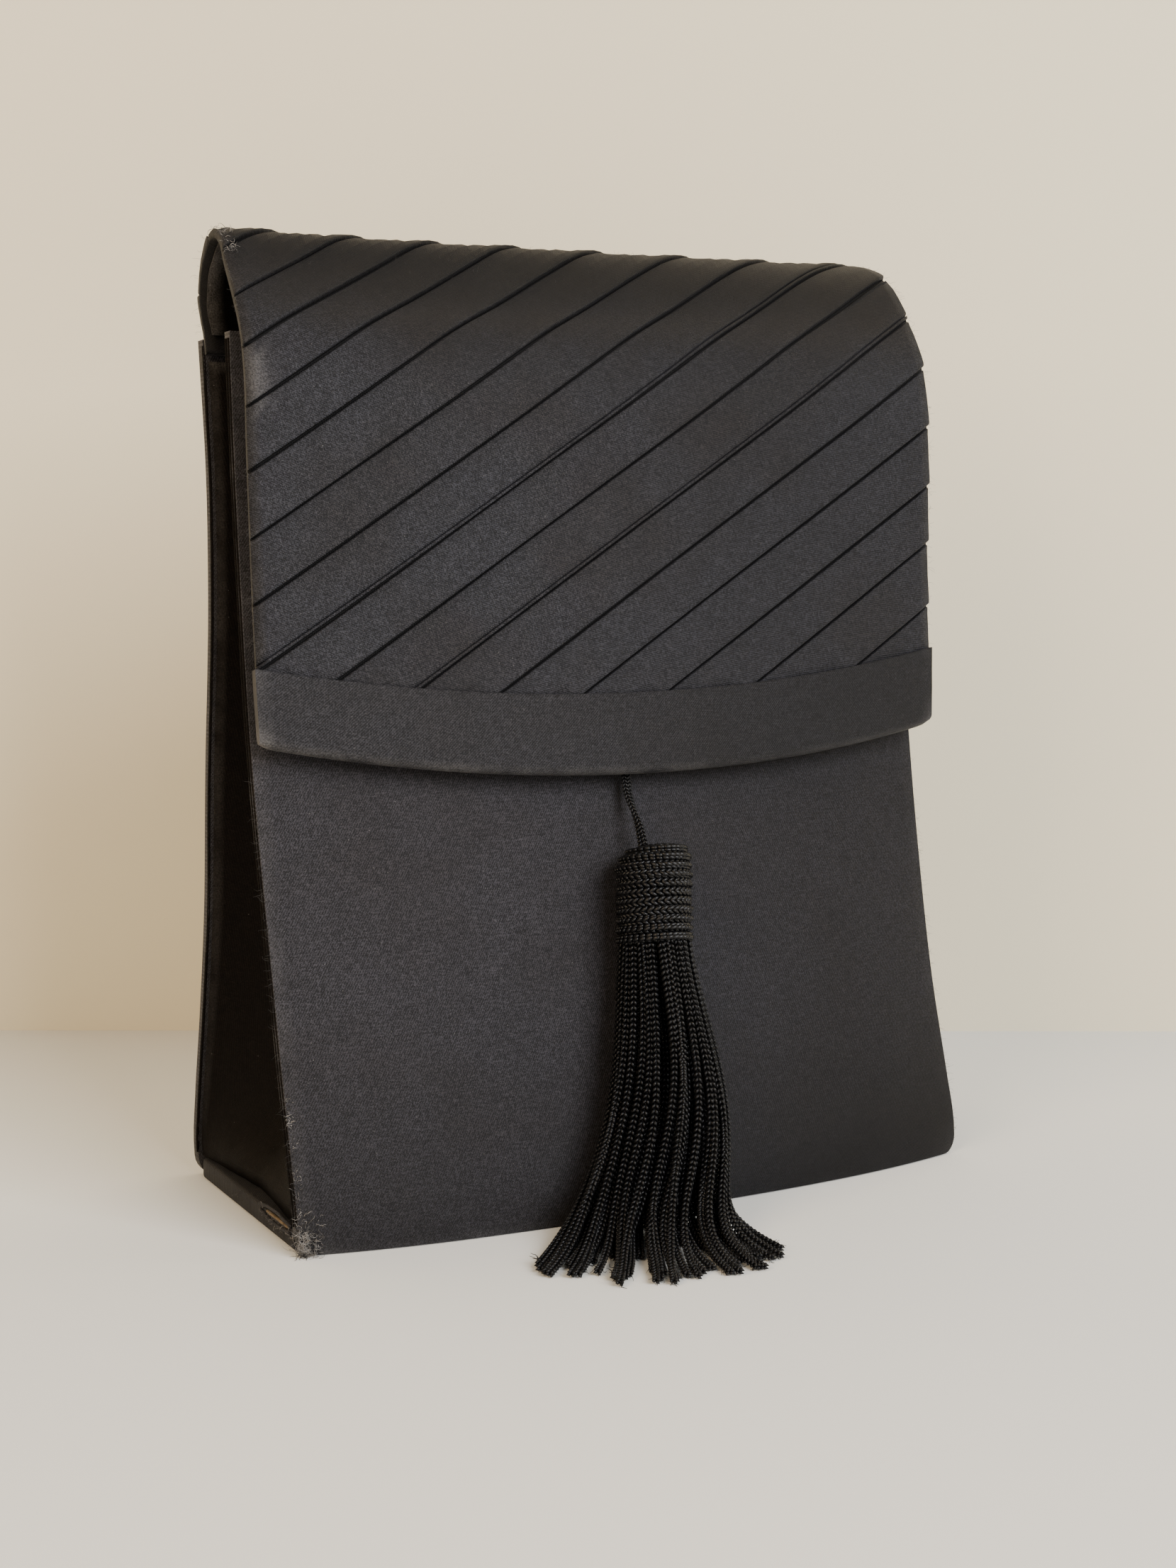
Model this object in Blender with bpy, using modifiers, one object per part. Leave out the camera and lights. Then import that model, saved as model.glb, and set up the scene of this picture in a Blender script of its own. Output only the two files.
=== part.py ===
"""A small black evening handbag: a wedge-shaped body, a pleated flap with a bound edge, and a long tassel.

Metres, +Z up. The origin is on the table under the middle of the base, -Y is the front and +X is the
right-hand side as the bag faces the viewer. Every piece is a closed solid of its own.
"""
import math

import bmesh
import bpy
import numpy as np
from mathutils import Vector

# Driving sizes
BODY_WIDTH = 0.175
BODY_HEIGHT = 0.198
BASE_DEPTH = 0.0715
FOOT_BOW = 0.008
BOW_LOSS = 0.75
BOW_POWER = 3
TOP_SKEW = 0.0021
SKEW_START = 0.2
SKEW_SPAN = 0.4
PANEL_THICKNESS = 0.0035
PANEL_CORNER = 0.0045
PANEL_FOOT = 0.0003
PANEL_ROUNDING = 0.0009
BASE_THICKNESS = 0.005
BASE_INSET = 0.0006
GUSSET_THICKNESS = 0.0012
GUSSET_TOP_GAP = 0.005
GUSSET_PUSH = 0.003
GUSSET_SIDE = 0.0009
GUSSET_FOLD_POWER = 1.6
GUSSET_STEEPEST = 4.0
GUSSET_THICKEST = 2.2
FLAP_TUCK = 0.0036
FLAP_FOLD_HEIGHT = 0.0232
FLAP_FOLD_DEPTH = 0.030
FLAP_DROP = 0.0906
FLAP_SAG = 0.0085
FLAP_STANDOFF = 0.0087
FLAP_BLEND_POWER = 1.5
FLAP_THICKNESS = 0.0018
PLEAT_PITCH = 0.0145
PLEAT_RISE = 0.0009
PLEAT_CRACK = 0.0007
PLEAT_MIDDLE = 0.45
PLEAT_SLOPE = 0.866
PLEAT_FANNING = 0.30
PLEAT_BEND = 1.15
LINING_THICKNESS = 0.001
LINING_INSET = 0.0012
LINING_WAVE = 0.0007
LINING_WAVE_STEP = 2.1
BAND_HEIGHT = 0.0195
BAND_TAPER = 0.0024
BAND_THICKNESS = 0.001
BAND_OVERHANG = 0.0005
CORD_DIAMETER = 0.0018
CORD_SEWN_LENGTH = 0.014
CORD_EXIT_HEIGHT = 0.003
CORD_FORWARD = 0.0016
CORD_FALL = 0.0060
CORD_ABOVE_HEAD = 0.0045
CORD_BEHIND_HEAD = 0.0008
HEAD_DIAMETER = 0.018
HEAD_HEIGHT = 0.0226
HEAD_DROP = 0.0163
HEAD_OFFSET = 0.0003
HEAD_TILT = 0.0028
HEAD_TURNS = 10
HEAD_GROOVE = 0.0006
HEAD_CROWN = 0.45
HEAD_SHOULDER = 0.86
HEAD_FIRST_TURN = 0.93
SKIRT_WIDTH = 0.024
SKIRT_LENGTH = 0.060
SKIRT_REACH = 0.046
SKIRT_LEAN = 0.0024
LOCK_DIAMETER = 0.0054
TIP_DIAMETER = 0.0032
LOCK_INSET = 0.42
LOCK_ROOT = 0.003
LOCK_KNEE = 0.55
LOCK_SWELL = 1.6
LOCK_BACK_LOSS = 0.6
LOCK_LANDING = 0.56
LOCK_LANDING_HEIGHT = 0.65
GAP = 0.0003
FACE_STEP = 0.001
BODY_COLUMNS = 12
PANEL_ROWS = 10
ROUNDING_SEGMENTS = 2
BASE_STATIONS = 5
GUSSET_COLUMNS = 10
GUSSET_ROWS = 12
SECTION_POINTS = 240
FLAP_COLUMNS = 11
LINING_FRONT_ROWS = 7
BAND_COLUMNS = 16
BAND_BEND_STEPS = 6
CORD_POINTS = 14
HEAD_STEPS = 14
LOCK_POINTS = 9
FOLD_SHARES = (0.0, 0.2, 0.4, 0.6, 0.8, 1.0, 1.2, 1.4, 1.6, 1.85, 2.1, 2.4, 2.75, 3.1, 3.5)

HALF_WIDTH = BODY_WIDTH / 2
HALF_DEPTH = BASE_DEPTH / 2
BASE_END = HALF_WIDTH - BASE_INSET

# Side profile of the two panels, outer faces.
# Columns: height, front face and back face, as shares of the body's height and of half the base's depth
PANEL_PROFILE = (
    (0.00, 1.000, 0.990),
    (0.04, 0.990, 1.030),
    (0.10, 0.900, 0.980),
    (0.20, 0.740, 0.853),
    (0.32, 0.580, 0.727),
    (0.50, 0.370, 0.640),
    (0.70, 0.207, 0.522),
    (0.85, 0.115, 0.525),
    (1.00, 0.050, 0.640),
)
# The flap's fold above the hems at its left and right ends.
# Columns: left height, left depth, right height, right depth, as shares of the fold's height and depth
FOLD_PROFILE = (
    (0.190, 0.060, 0.210, 0.050),
    (0.440, 0.027, 0.500, 0.007),
    (0.710, 0.090, 0.815, 0.047),
    (0.900, 0.217, 1.046, 0.183),
    (1.000, 0.417, 1.163, 0.383),
    (0.930, 0.560, 1.080, 0.640),
    (0.670, 0.693, 0.880, 0.887),
    (0.335, 0.873, 0.565, 1.077),
)
# The flap's front, below the hem line.
# Columns: drop, left stand-off, right stand-off, as shares of the flap's drop and stand-off
FRONT_PROFILE = (
    (0.000, 0.880, 1.510),
    (0.100, 1.060, 1.680),
    (0.264, 1.010, 1.660),
    (0.527, 0.900, 1.420),
    (0.770, 0.800, 1.180),
    (1.000, 0.800, 0.880),
)
# Places of the pleats' folded edges on the flap's left edge, up from its lower corner, in pleat pitches
PLEAT_PLACES = (
    -7.59, -6.59, -5.62, -4.59, -3.66, -2.70, -1.72, -0.79, 0.23, 1.17, 2.16,
    3.14, 4.15, 5.11, 6.01, 6.87, 7.78, 8.69, 9.70, 10.69, 11.69,
)
# The locks of the tassel's skirt.
# Columns: place round the head in degrees, tip's sideways and forward reach as shares of the skirt's reach
LOCKS = (
    (160, -1.02, 0.66),
    (190, -0.90, 0.80),
    (215, -0.82, 0.92),
    (238, -0.72, 1.00),
    (256, -0.60, 1.06),
    (275, -0.44, 1.08),
    (295, -0.29, 1.08),
    (318, -0.12, 1.10),
    (345, 0.02, 1.05),
    (10, 0.09, 0.96),
    (38, -0.08, 0.72),
    (68, -0.34, 0.66),
    (100, -0.56, 0.62),
    (130, -0.80, 0.56),
)
# Girth of a lock from its root to its tip, as shares of the lock's diameter
LOCK_GIRTH = (0.84, 0.96, 1.0, 1.0, 1.0, 0.98, 0.94, 0.86, 0.74, 0.60)

BODY_CLOTH = (0.030, 0.028, 0.031)
PLEAT_CLOTH = (0.034, 0.034, 0.039)
SIDE_CLOTH = (0.016, 0.013, 0.013)
LINING_CLOTH = (0.045, 0.042, 0.042)
SILK = (0.012, 0.012, 0.014)


def smooth(at, stations, values):
    """The value at one place of a smooth curve through a table's rows."""
    slopes = np.gradient(values, stations)
    row = int(np.clip(np.searchsorted(stations, at) - 1, 0, len(stations) - 2))
    step = stations[row + 1] - stations[row]
    t = (at - stations[row]) / step
    start = (2 * t**3 - 3 * t**2 + 1) * values[row] + (t**3 - 2 * t**2 + t) * step * slopes[row]
    end = (3 * t**2 - 2 * t**3) * values[row + 1] + (t**3 - t**2) * step * slopes[row + 1]
    return float(start + end)


def ease(value):
    """A soft step from 0 to 1."""
    t = min(max(value, 0.0), 1.0)
    return t * t * (3 - 2 * t)


def across(x):
    """Place across the bag, -1 at the left end and 1 at the right."""
    return x / HALF_WIDTH


def new_material(name, colour, roughness):
    material = bpy.data.materials.new(name)
    material.use_nodes = True
    shader = material.node_tree.nodes["Principled BSDF"]
    shader.inputs["Base Color"].default_value = (*colour, 1.0)
    shader.inputs["Roughness"].default_value = roughness
    shader.inputs["Metallic"].default_value = 0.0
    return material


def add_object(name, mesh, collection, material):
    mesh.materials.append(material)
    obj = bpy.data.objects.new(name, mesh)
    collection.objects.link(obj)
    return obj


def slab(name, columns, rows, place):
    """A closed sheet with thickness. place(u, v, side) gives its points, with u from -1 to 1 across, v from
    0 to 1 along, and side 0 or 1 for its two faces."""
    bm = bmesh.new()
    bmesh.ops.create_grid(bm, x_segments=columns, y_segments=rows, size=1.0)
    layer = bm.verts.layers.int.new("side")
    grown = bmesh.ops.extrude_face_region(bm, geom=bm.faces[:], use_keep_orig=True)
    for item in grown["geom"]:
        if isinstance(item, bmesh.types.BMVert):
            item[layer] = 1
    for vert in bm.verts:
        vert.co = place(vert.co.x, (vert.co.y + 1) / 2, vert[layer])
    bmesh.ops.recalc_face_normals(bm, faces=bm.faces[:])
    mesh = bpy.data.meshes.new(name)
    bm.to_mesh(mesh)
    bm.free()
    mesh.shade_smooth()
    return mesh


def round_edges(obj, width, segments):
    bevel = obj.modifiers.new("rounded_edges", "BEVEL")
    bevel.width = width
    bevel.segments = segments
    bevel.limit_method = "ANGLE"
    bevel.angle_limit = math.radians(50)


# Body


def bow(x, z):
    """How far the front bulges forward of its corners, most at the foot."""
    share = z / BODY_HEIGHT
    return FOOT_BOW * (1 - BOW_LOSS * share) * (1 - abs(across(x)) ** BOW_POWER)


def front_face(x, z):
    """Y of the front panel's outer face."""
    share = z / BODY_HEIGHT
    heights, fronts = zip(*[(row[0], row[1]) for row in PANEL_PROFILE])
    skew = TOP_SKEW * across(x) * ease((share - SKEW_START) / SKEW_SPAN)
    return -HALF_DEPTH * smooth(share, heights, fronts) - bow(x, z) - skew


def back_face(z):
    """Y of the back panel's outer face."""
    heights, backs = zip(*[(row[0], row[2]) for row in PANEL_PROFILE])
    return HALF_DEPTH * smooth(z / BODY_HEIGHT, heights, backs)


def panel_rows(count):
    """Heights of a panel's rows as shares, closer together round the foot's corners."""
    corner = PANEL_CORNER / BODY_HEIGHT
    rounding = [corner * (1 - math.cos(math.radians(angle))) for angle in (0, 30, 60, 90)]
    return rounding + [corner + (1 - corner) * step / count for step in range(1, count + 1)]


def panel_width(z):
    """Half width of a panel, less where its lower corners are rounded."""
    if z >= PANEL_CORNER:
        return HALF_WIDTH
    return HALF_WIDTH - PANEL_CORNER + math.sqrt(PANEL_CORNER**2 - (PANEL_CORNER - z) ** 2)


def panel_mesh(name, face, inward):
    """face(x, z) is the outer side, and inward is 1 where the inside lies towards +Y and -1 where it doesn't."""
    rows = panel_rows(PANEL_ROWS)

    def place(u, v, side):
        z = rows[round(v * (len(rows) - 1))] * BODY_HEIGHT
        x = u * panel_width(z)
        return Vector((x, face(x, z) + inward * side * PANEL_THICKNESS, max(z, PANEL_FOOT)))

    return slab(name, BODY_COLUMNS, len(rows) - 1, place)


def base_mesh():
    """The stiff bottom, whose front edge follows the front panel's bow."""
    feet = [step * BASE_THICKNESS / (BASE_STATIONS - 1) for step in range(BASE_STATIONS)]
    back_edge = min(back_face(z) for z in feet) - PANEL_THICKNESS - GAP

    def place(u, v, side):
        x = u * BASE_END
        front_edge = max(front_face(x, z) for z in feet) + PANEL_THICKNESS + GAP
        return Vector((x, front_edge + v * (back_edge - front_edge), side * BASE_THICKNESS))

    return slab("base_board", BODY_COLUMNS, 1, place)


def gusset_mesh(name, sign):
    """A side cloth that folds inwards. It keeps its own width, so it folds deeper where the panels are closer."""
    foot = BASE_THICKNESS + GAP
    top = BODY_HEIGHT - GUSSET_TOP_GAP
    end = HALF_WIDTH - GUSSET_SIDE

    def ends(z):
        x = sign * end
        return front_face(x, z) + PANEL_THICKNESS + GAP, back_face(z) - PANEL_THICKNESS - GAP

    foot_front, foot_back = ends(foot)
    cloth = 2 * math.hypot((foot_back - foot_front) / 2, GUSSET_PUSH)

    def place(u, v, side):
        z = foot + v * (top - foot)
        front, back = ends(z)
        half = (back - front) / 2
        depth = math.sqrt(max(cloth**2 / 4 - half**2, GUSSET_PUSH**2))
        fold = 1 - (abs(u) ** GUSSET_FOLD_POWER + abs(u)) / 2
        slope = min(depth / half, GUSSET_STEEPEST)
        lean = math.sqrt(1 + slope**2)
        x = sign * (end - depth * fold)
        y = (front + back) / 2 + u * half
        if side:
            x -= sign * GUSSET_THICKNESS * min(lean, GUSSET_THICKEST)
        return Vector((x, y, z))

    return slab(name, GUSSET_COLUMNS, GUSSET_ROWS, place)


# Flap


def blend(x):
    """How much of the right end's profile the flap has at x."""
    return max((across(x) + 1) / 2, 0.0) ** FLAP_BLEND_POWER


def mix(left, right, share):
    return left * (1 - share) + right * share


def flap_rows(x):
    """(y, z) points of the flap's outer face at x, from its sewn end inside the back panel to its lower edge."""
    share = blend(x)
    hem = back_face(BODY_HEIGHT)
    rows = []
    for tuck in (1.0, 0.1):
        z = BODY_HEIGHT - FLAP_TUCK * tuck
        rows.append((back_face(z) - PANEL_THICKNESS - 2 * GAP, z))
    for left_height, left_depth, right_height, right_depth in FOLD_PROFILE:
        depth = FLAP_FOLD_DEPTH * mix(left_depth, right_depth, share)
        rows.append((hem - depth, BODY_HEIGHT + FLAP_FOLD_HEIGHT * mix(left_height, right_height, share)))
    drop = FLAP_DROP + FLAP_SAG * (1 - across(x) ** 2)
    for fall, left_off, right_off in FRONT_PROFILE:
        z = BODY_HEIGHT - fall * drop
        rows.append((front_face(x, z) - FLAP_STANDOFF * mix(left_off, right_off, share), z))
    return rows


SECTIONS = {}


def flap_section(x):
    """(distance from the lower edge, y, z) along the flap's outer face at x, with the lower edge first."""
    key = round(x, 6)
    if key not in SECTIONS:
        ys, zs = zip(*flap_rows(x))
        chord = np.concatenate([[0.0], np.cumsum(np.hypot(np.diff(ys), np.diff(zs)))])
        fine = np.linspace(0.0, chord[-1], SECTION_POINTS)
        y = np.array([smooth(at, chord, ys) for at in fine])
        z = np.array([smooth(at, chord, zs) for at in fine])
        run = np.concatenate([[0.0], np.cumsum(np.hypot(np.diff(y), np.diff(z)))])
        SECTIONS[key] = (run[-1] - run[::-1], y[::-1], z[::-1])
    return SECTIONS[key]


def flap_length(x):
    return float(flap_section(x)[0][-1])


def flap_point(x, up):
    """Point of the flap's outer face at x, up from its lower edge along the cloth."""
    run, y, z = flap_section(x)
    return Vector((x, float(np.interp(up, run, y)), float(np.interp(up, run, z))))


def flap_offset(x, up, out):
    """The same point moved out of the face, or into the cloth where out is negative."""
    along = flap_point(x, up + FACE_STEP) - flap_point(x, max(up - FACE_STEP, 0.0))
    sideways = flap_point(x + FACE_STEP, up) - flap_point(x - FACE_STEP, up)
    normal = sideways.cross(along).normalized()
    return flap_point(x, up) + normal * out


def pleat_relief():
    """(place on the left edge, height of the cloth) for each row of the pleated cloth, from the lowest up."""
    rows = []
    edges = [place * PLEAT_PITCH for place in PLEAT_PLACES]
    for edge, above in zip(edges, edges[1:]):
        rows.append((edge - PLEAT_CRACK, 0.0))
        rows.append((edge, PLEAT_RISE))
        rows.append(((edge + above) / 2, PLEAT_MIDDLE * PLEAT_RISE))
    return rows


def band_loss(x):
    """How much narrower the binding is at x than at its right end."""
    return BAND_TAPER * (0.5 - across(x) / 2) ** 2


def cut_level(bm, height, clear_outer=False, upwards=True):
    """Cuts flat cloth straight across, and can clear what lies beyond the cut."""
    geometry = bm.verts[:] + bm.edges[:] + bm.faces[:]
    direction = 1 if upwards else -1
    bmesh.ops.bisect_plane(
        bm, geom=geometry, dist=1e-7, plane_co=(0, height, 0), plane_no=(0, direction, 0), clear_outer=clear_outer
    )


def fold_levels():
    """Heights up the flap's left edge, from the hem over the fold, where cloth and lining both have a row."""
    hem = flap_length(-HALF_WIDTH) - FLAP_TUCK
    return [hem - share * FLAP_FOLD_HEIGHT for share in FOLD_SHARES]


def flap_mesh():
    """Slanted rows of pleats on flat cloth, trimmed to the flap's two ends and then laid on its curved form."""
    rows = pleat_relief()
    foot = BAND_THICKNESS + FLAP_THICKNESS / 2 + GAP
    pressed = BAND_HEIGHT + GAP
    bm = bmesh.new()
    bmesh.ops.create_grid(bm, x_segments=FLAP_COLUMNS, y_segments=len(rows) - 1, size=1.0)
    for vert in bm.verts:
        place, rise = rows[round((vert.co.y + 1) / 2 * (len(rows) - 1))]
        x = vert.co.x * HALF_WIDTH
        run = x + HALF_WIDTH
        slope = PLEAT_SLOPE + PLEAT_FANNING * place
        vert.co = Vector((x, place + slope * run - PLEAT_BEND * run**2, rise))
    cut_level(bm, foot, clear_outer=True, upwards=False)
    for vert in bm.verts:
        vert.co.y += band_loss(vert.co.x)
    cut_level(bm, pressed)
    cut_level(bm, pressed + PLEAT_RISE)
    shortest = flap_length(-HALF_WIDTH)
    for vert in bm.verts:
        vert.co.y -= band_loss(vert.co.x) + flap_length(vert.co.x) - shortest
    cut_level(bm, shortest, clear_outer=True)
    for level in fold_levels():
        cut_level(bm, level)
    layer = bm.verts.layers.int.new("inner")
    grown = bmesh.ops.extrude_face_region(bm, geom=bm.faces[:], use_keep_orig=True)
    for item in grown["geom"]:
        if isinstance(item, bmesh.types.BMVert):
            item[layer] = 1
    for vert in bm.verts:
        x, above, rise = vert.co
        up = above + flap_length(x) - shortest
        above_hem = flap_length(x) - up - 2 * FLAP_TUCK
        raised = rise * ease((up + band_loss(x) - pressed) / PLEAT_RISE) * ease(above_hem / (2 * FLAP_TUCK))
        vert.co = flap_offset(x, up, -FLAP_THICKNESS if vert[layer] else raised)
    bmesh.ops.recalc_face_normals(bm, faces=bm.faces[:])
    mesh = bpy.data.meshes.new("flap")
    bm.to_mesh(mesh)
    bm.free()
    mesh.shade_smooth()
    return mesh


def lining_mesh():
    """Thin cloth on the flap's inner side, with a wavy edge."""
    low = BAND_HEIGHT + 2 * GAP
    outer = -FLAP_THICKNESS - GAP
    levels = fold_levels()[::-1]
    front = [low + (levels[0] - low) * step / LINING_FRONT_ROWS for step in range(LINING_FRONT_ROWS)]
    levels = front + levels
    shortest = flap_length(-HALF_WIDTH)

    def place(u, v, side):
        row = round(v * (len(levels) - 1))
        wave = LINING_WAVE * (1 + math.sin(LINING_WAVE_STEP * row)) / 2 if abs(round(u, 3)) == 1 else 0.0
        x = u * (HALF_WIDTH - LINING_INSET - wave)
        up = levels[row] + (flap_length(x) - shortest) * min(row / LINING_FRONT_ROWS, 1.0)
        return flap_offset(x, up, outer - side * LINING_THICKNESS)

    return slab("flap_lining", FLAP_COLUMNS, len(levels) - 1, place)


def band_path(height):
    """(height up the flap, place out of its face) along the binding's middle, round the flap's lower edge."""
    reach = FLAP_THICKNESS / 2 + GAP + BAND_THICKNESS / 2
    centre = BAND_THICKNESS / 2 + reach
    path = [(height, -reach), ((height + centre) / 2, -reach)]
    for step in range(BAND_BEND_STEPS + 1):
        angle = math.pi * step / BAND_BEND_STEPS
        path.append((centre - reach * math.sin(angle), -reach * math.cos(angle)))
    path += [((height + centre) / 2, reach), (height, reach)]
    return [(up, out - FLAP_THICKNESS / 2) for up, out in path]


def band_mesh():
    """The open middle sheet of the binding. Solidify gives it its thickness."""
    rows = len(band_path(BAND_HEIGHT)) - 1
    bm = bmesh.new()
    bmesh.ops.create_grid(bm, x_segments=BAND_COLUMNS, y_segments=rows, size=1.0)
    for vert in bm.verts:
        x = vert.co.x * (HALF_WIDTH + BAND_OVERHANG)
        up, out = band_path(BAND_HEIGHT - band_loss(x))[round((vert.co.y + 1) / 2 * rows)]
        vert.co = flap_offset(x, up, out)
    mesh = bpy.data.meshes.new("flap_binding")
    bm.to_mesh(mesh)
    bm.free()
    mesh.shade_smooth()
    return mesh


# Tassel


def band_back(up):
    """Point on the binding's inner face at the middle of the flap."""
    return flap_offset(0.0, up, -FLAP_THICKNESS - GAP - BAND_THICKNESS)


def head_centre(x, z):
    """The tassel leans on the front panel, so its head's axis follows the panel's face."""
    return Vector((x, front_face(x, z) - HEAD_DIAMETER / 2 - 2 * GAP, z))


def head_ends():
    top = flap_point(0.0, 0.0).z - HEAD_DROP
    high = head_centre(HEAD_OFFSET + HEAD_TILT / 2, top)
    direction = (head_centre(HEAD_OFFSET - HEAD_TILT / 2, top - HEAD_HEIGHT) - high).normalized()
    return high, high + direction * HEAD_HEIGHT


def cord_points():
    """The cord is sewn to the binding's inner side, comes out under its edge and goes down to the head."""
    high, low = head_ends()
    up = (high - low).normalized()
    clear = Vector((0, CORD_DIAMETER / 2 + GAP, 0))
    sewn = band_back(CORD_SEWN_LENGTH) + clear
    edge = band_back(CORD_EXIT_HEIGHT) + clear
    below = edge + Vector((HEAD_OFFSET / 2, -CORD_FORWARD, -CORD_FALL))
    end = high + up * GAP
    above = end + up * CORD_ABOVE_HEAD + Vector((0, CORD_BEHIND_HEAD, 0))
    return [sewn, (sewn + edge) / 2, edge, below, above, end]


def curve_through(points, count):
    """Evenly spread points on a smooth curve through a few chosen ones."""
    run = np.concatenate([[0.0], np.cumsum([(b - a).length for a, b in zip(points, points[1:])])])
    axes = [[point[axis] for point in points] for axis in range(3)]
    return [Vector([smooth(at, run, axis) for axis in axes]) for at in np.linspace(0.0, run[-1], count)]


def tube(name, points, radii, collection, resolution=2):
    """A round tube as a POLY curve, with its own radius at each point."""
    curve = bpy.data.curves.new(name, "CURVE")
    curve.dimensions = "3D"
    curve.bevel_depth = 1.0
    curve.bevel_resolution = resolution
    curve.use_fill_caps = True
    spline = curve.splines.new("POLY")
    spline.points.add(len(points) - 1)
    for item, point, radius in zip(spline.points, points, radii):
        item.co = (*point, 1.0)
        item.radius = radius
    obj = bpy.data.objects.new(name, curve)
    collection.objects.link(obj)
    return obj


def tube_mesh(name, points, radii, collection):
    """The same tube as a closed mesh that a Boolean can join."""
    guide = tube(name + "_guide", points, radii, collection, resolution=1)
    bpy.context.view_layer.update()
    graph = bpy.context.evaluated_depsgraph_get()
    mesh = bpy.data.meshes.new_from_object(guide.evaluated_get(graph))
    bpy.data.objects.remove(guide)
    bm = bmesh.new()
    bm.from_mesh(mesh)
    bmesh.ops.remove_doubles(bm, verts=bm.verts[:], dist=1e-6)
    bmesh.ops.recalc_face_normals(bm, faces=bm.faces[:])
    bm.to_mesh(mesh)
    bm.free()
    obj = bpy.data.objects.new(name, mesh)
    collection.objects.link(obj)
    return obj


def head_object(collection, material):
    """The wound head: a turned form with one round rib for each turn of cord."""
    high, low = head_ends()
    radius = HEAD_DIAMETER / 2
    pitch = HEAD_HEIGHT / HEAD_TURNS
    profile = [(0.0, 0.0), (radius * HEAD_CROWN, 0.0), (radius * HEAD_SHOULDER, -pitch / 10)]
    for turn in range(HEAD_TURNS):
        crest = radius * (HEAD_FIRST_TURN if turn == 0 else 1.0)
        profile.append((crest, -(turn + 0.5) * pitch))
        profile.append((crest - HEAD_GROOVE, -(turn + 1) * pitch))
    profile.append((0.0, -HEAD_HEIGHT))
    mesh = bpy.data.meshes.new("tassel")
    bm = bmesh.new()
    verts = [bm.verts.new((x, 0.0, z)) for x, z in profile]
    for a, b in zip(verts, verts[1:]):
        bm.edges.new((a, b))
    bm.to_mesh(mesh)
    bm.free()
    obj = add_object("tassel", mesh, collection, material)
    obj.location = high
    obj.rotation_mode = "QUATERNION"
    obj.rotation_quaternion = (high - low).to_track_quat("Z", "Y")
    screw = obj.modifiers.new("turned", "SCREW")
    screw.steps = HEAD_STEPS
    screw.render_steps = HEAD_STEPS
    screw.use_merge_vertices = True
    screw.merge_threshold = 0.00001
    return obj


def lock_path(angle, side_reach, front_reach):
    """Points of one lock: out of the head, down along the panel, and out over the table to its tip."""
    high, low = head_ends()
    axis = (low - high).normalized()
    outward = Vector((math.cos(math.radians(angle)), math.sin(math.radians(angle)), 0))
    ring = HEAD_DIAMETER / 2 - LOCK_DIAMETER * LOCK_INSET
    start = low - axis * LOCK_ROOT + outward * ring
    swell = (SKIRT_WIDTH - LOCK_DIAMETER) / 2 - ring
    tip = Vector((low.x + side_reach * SKIRT_REACH, low.y - front_reach * SKIRT_REACH, TIP_DIAMETER / 2 + GAP))
    flatter = 1 - LOCK_BACK_LOSS * max(outward.y, 0.0)
    knee = start + axis * SKIRT_LENGTH * LOCK_KNEE + outward * swell * LOCK_SWELL * flatter
    knee.y -= SKIRT_LEAN
    landing = start.lerp(tip, LOCK_LANDING)
    landing.z = LOCK_DIAMETER * LOCK_LANDING_HEIGHT
    return bezier(start, knee, landing, tip, LOCK_POINTS)


def bezier(a, b, c, d, count):
    points = []
    for step in range(count):
        t = step / (count - 1)
        s = 1 - t
        points.append(a * s**3 + b * 3 * s**2 * t + c * 3 * s * t**2 + d * t**3)
    return points


def lock_radii(count):
    """A lock is thin where it leaves the head, full in the middle and thin again at its tip."""
    stations = np.linspace(0, 1, len(LOCK_GIRTH))
    return [smooth(step / (count - 1), stations, LOCK_GIRTH) * LOCK_DIAMETER / 2 for step in range(count)]


def tassel(collection, helpers, material):
    head = head_object(collection, material)
    for number, (angle, side_reach, front_reach) in enumerate(LOCKS):
        points = lock_path(angle, side_reach, front_reach)
        lock = tube_mesh(f"lock_{number + 1}", points, lock_radii(len(points)), helpers)
        lock.hide_render = True
        lock.display_type = "WIRE"
    union = head.modifiers.new("fused_locks", "BOOLEAN")
    union.operation = "UNION"
    union.operand_type = "COLLECTION"
    union.collection = helpers
    union.solver = "EXACT"
    return head


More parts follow.
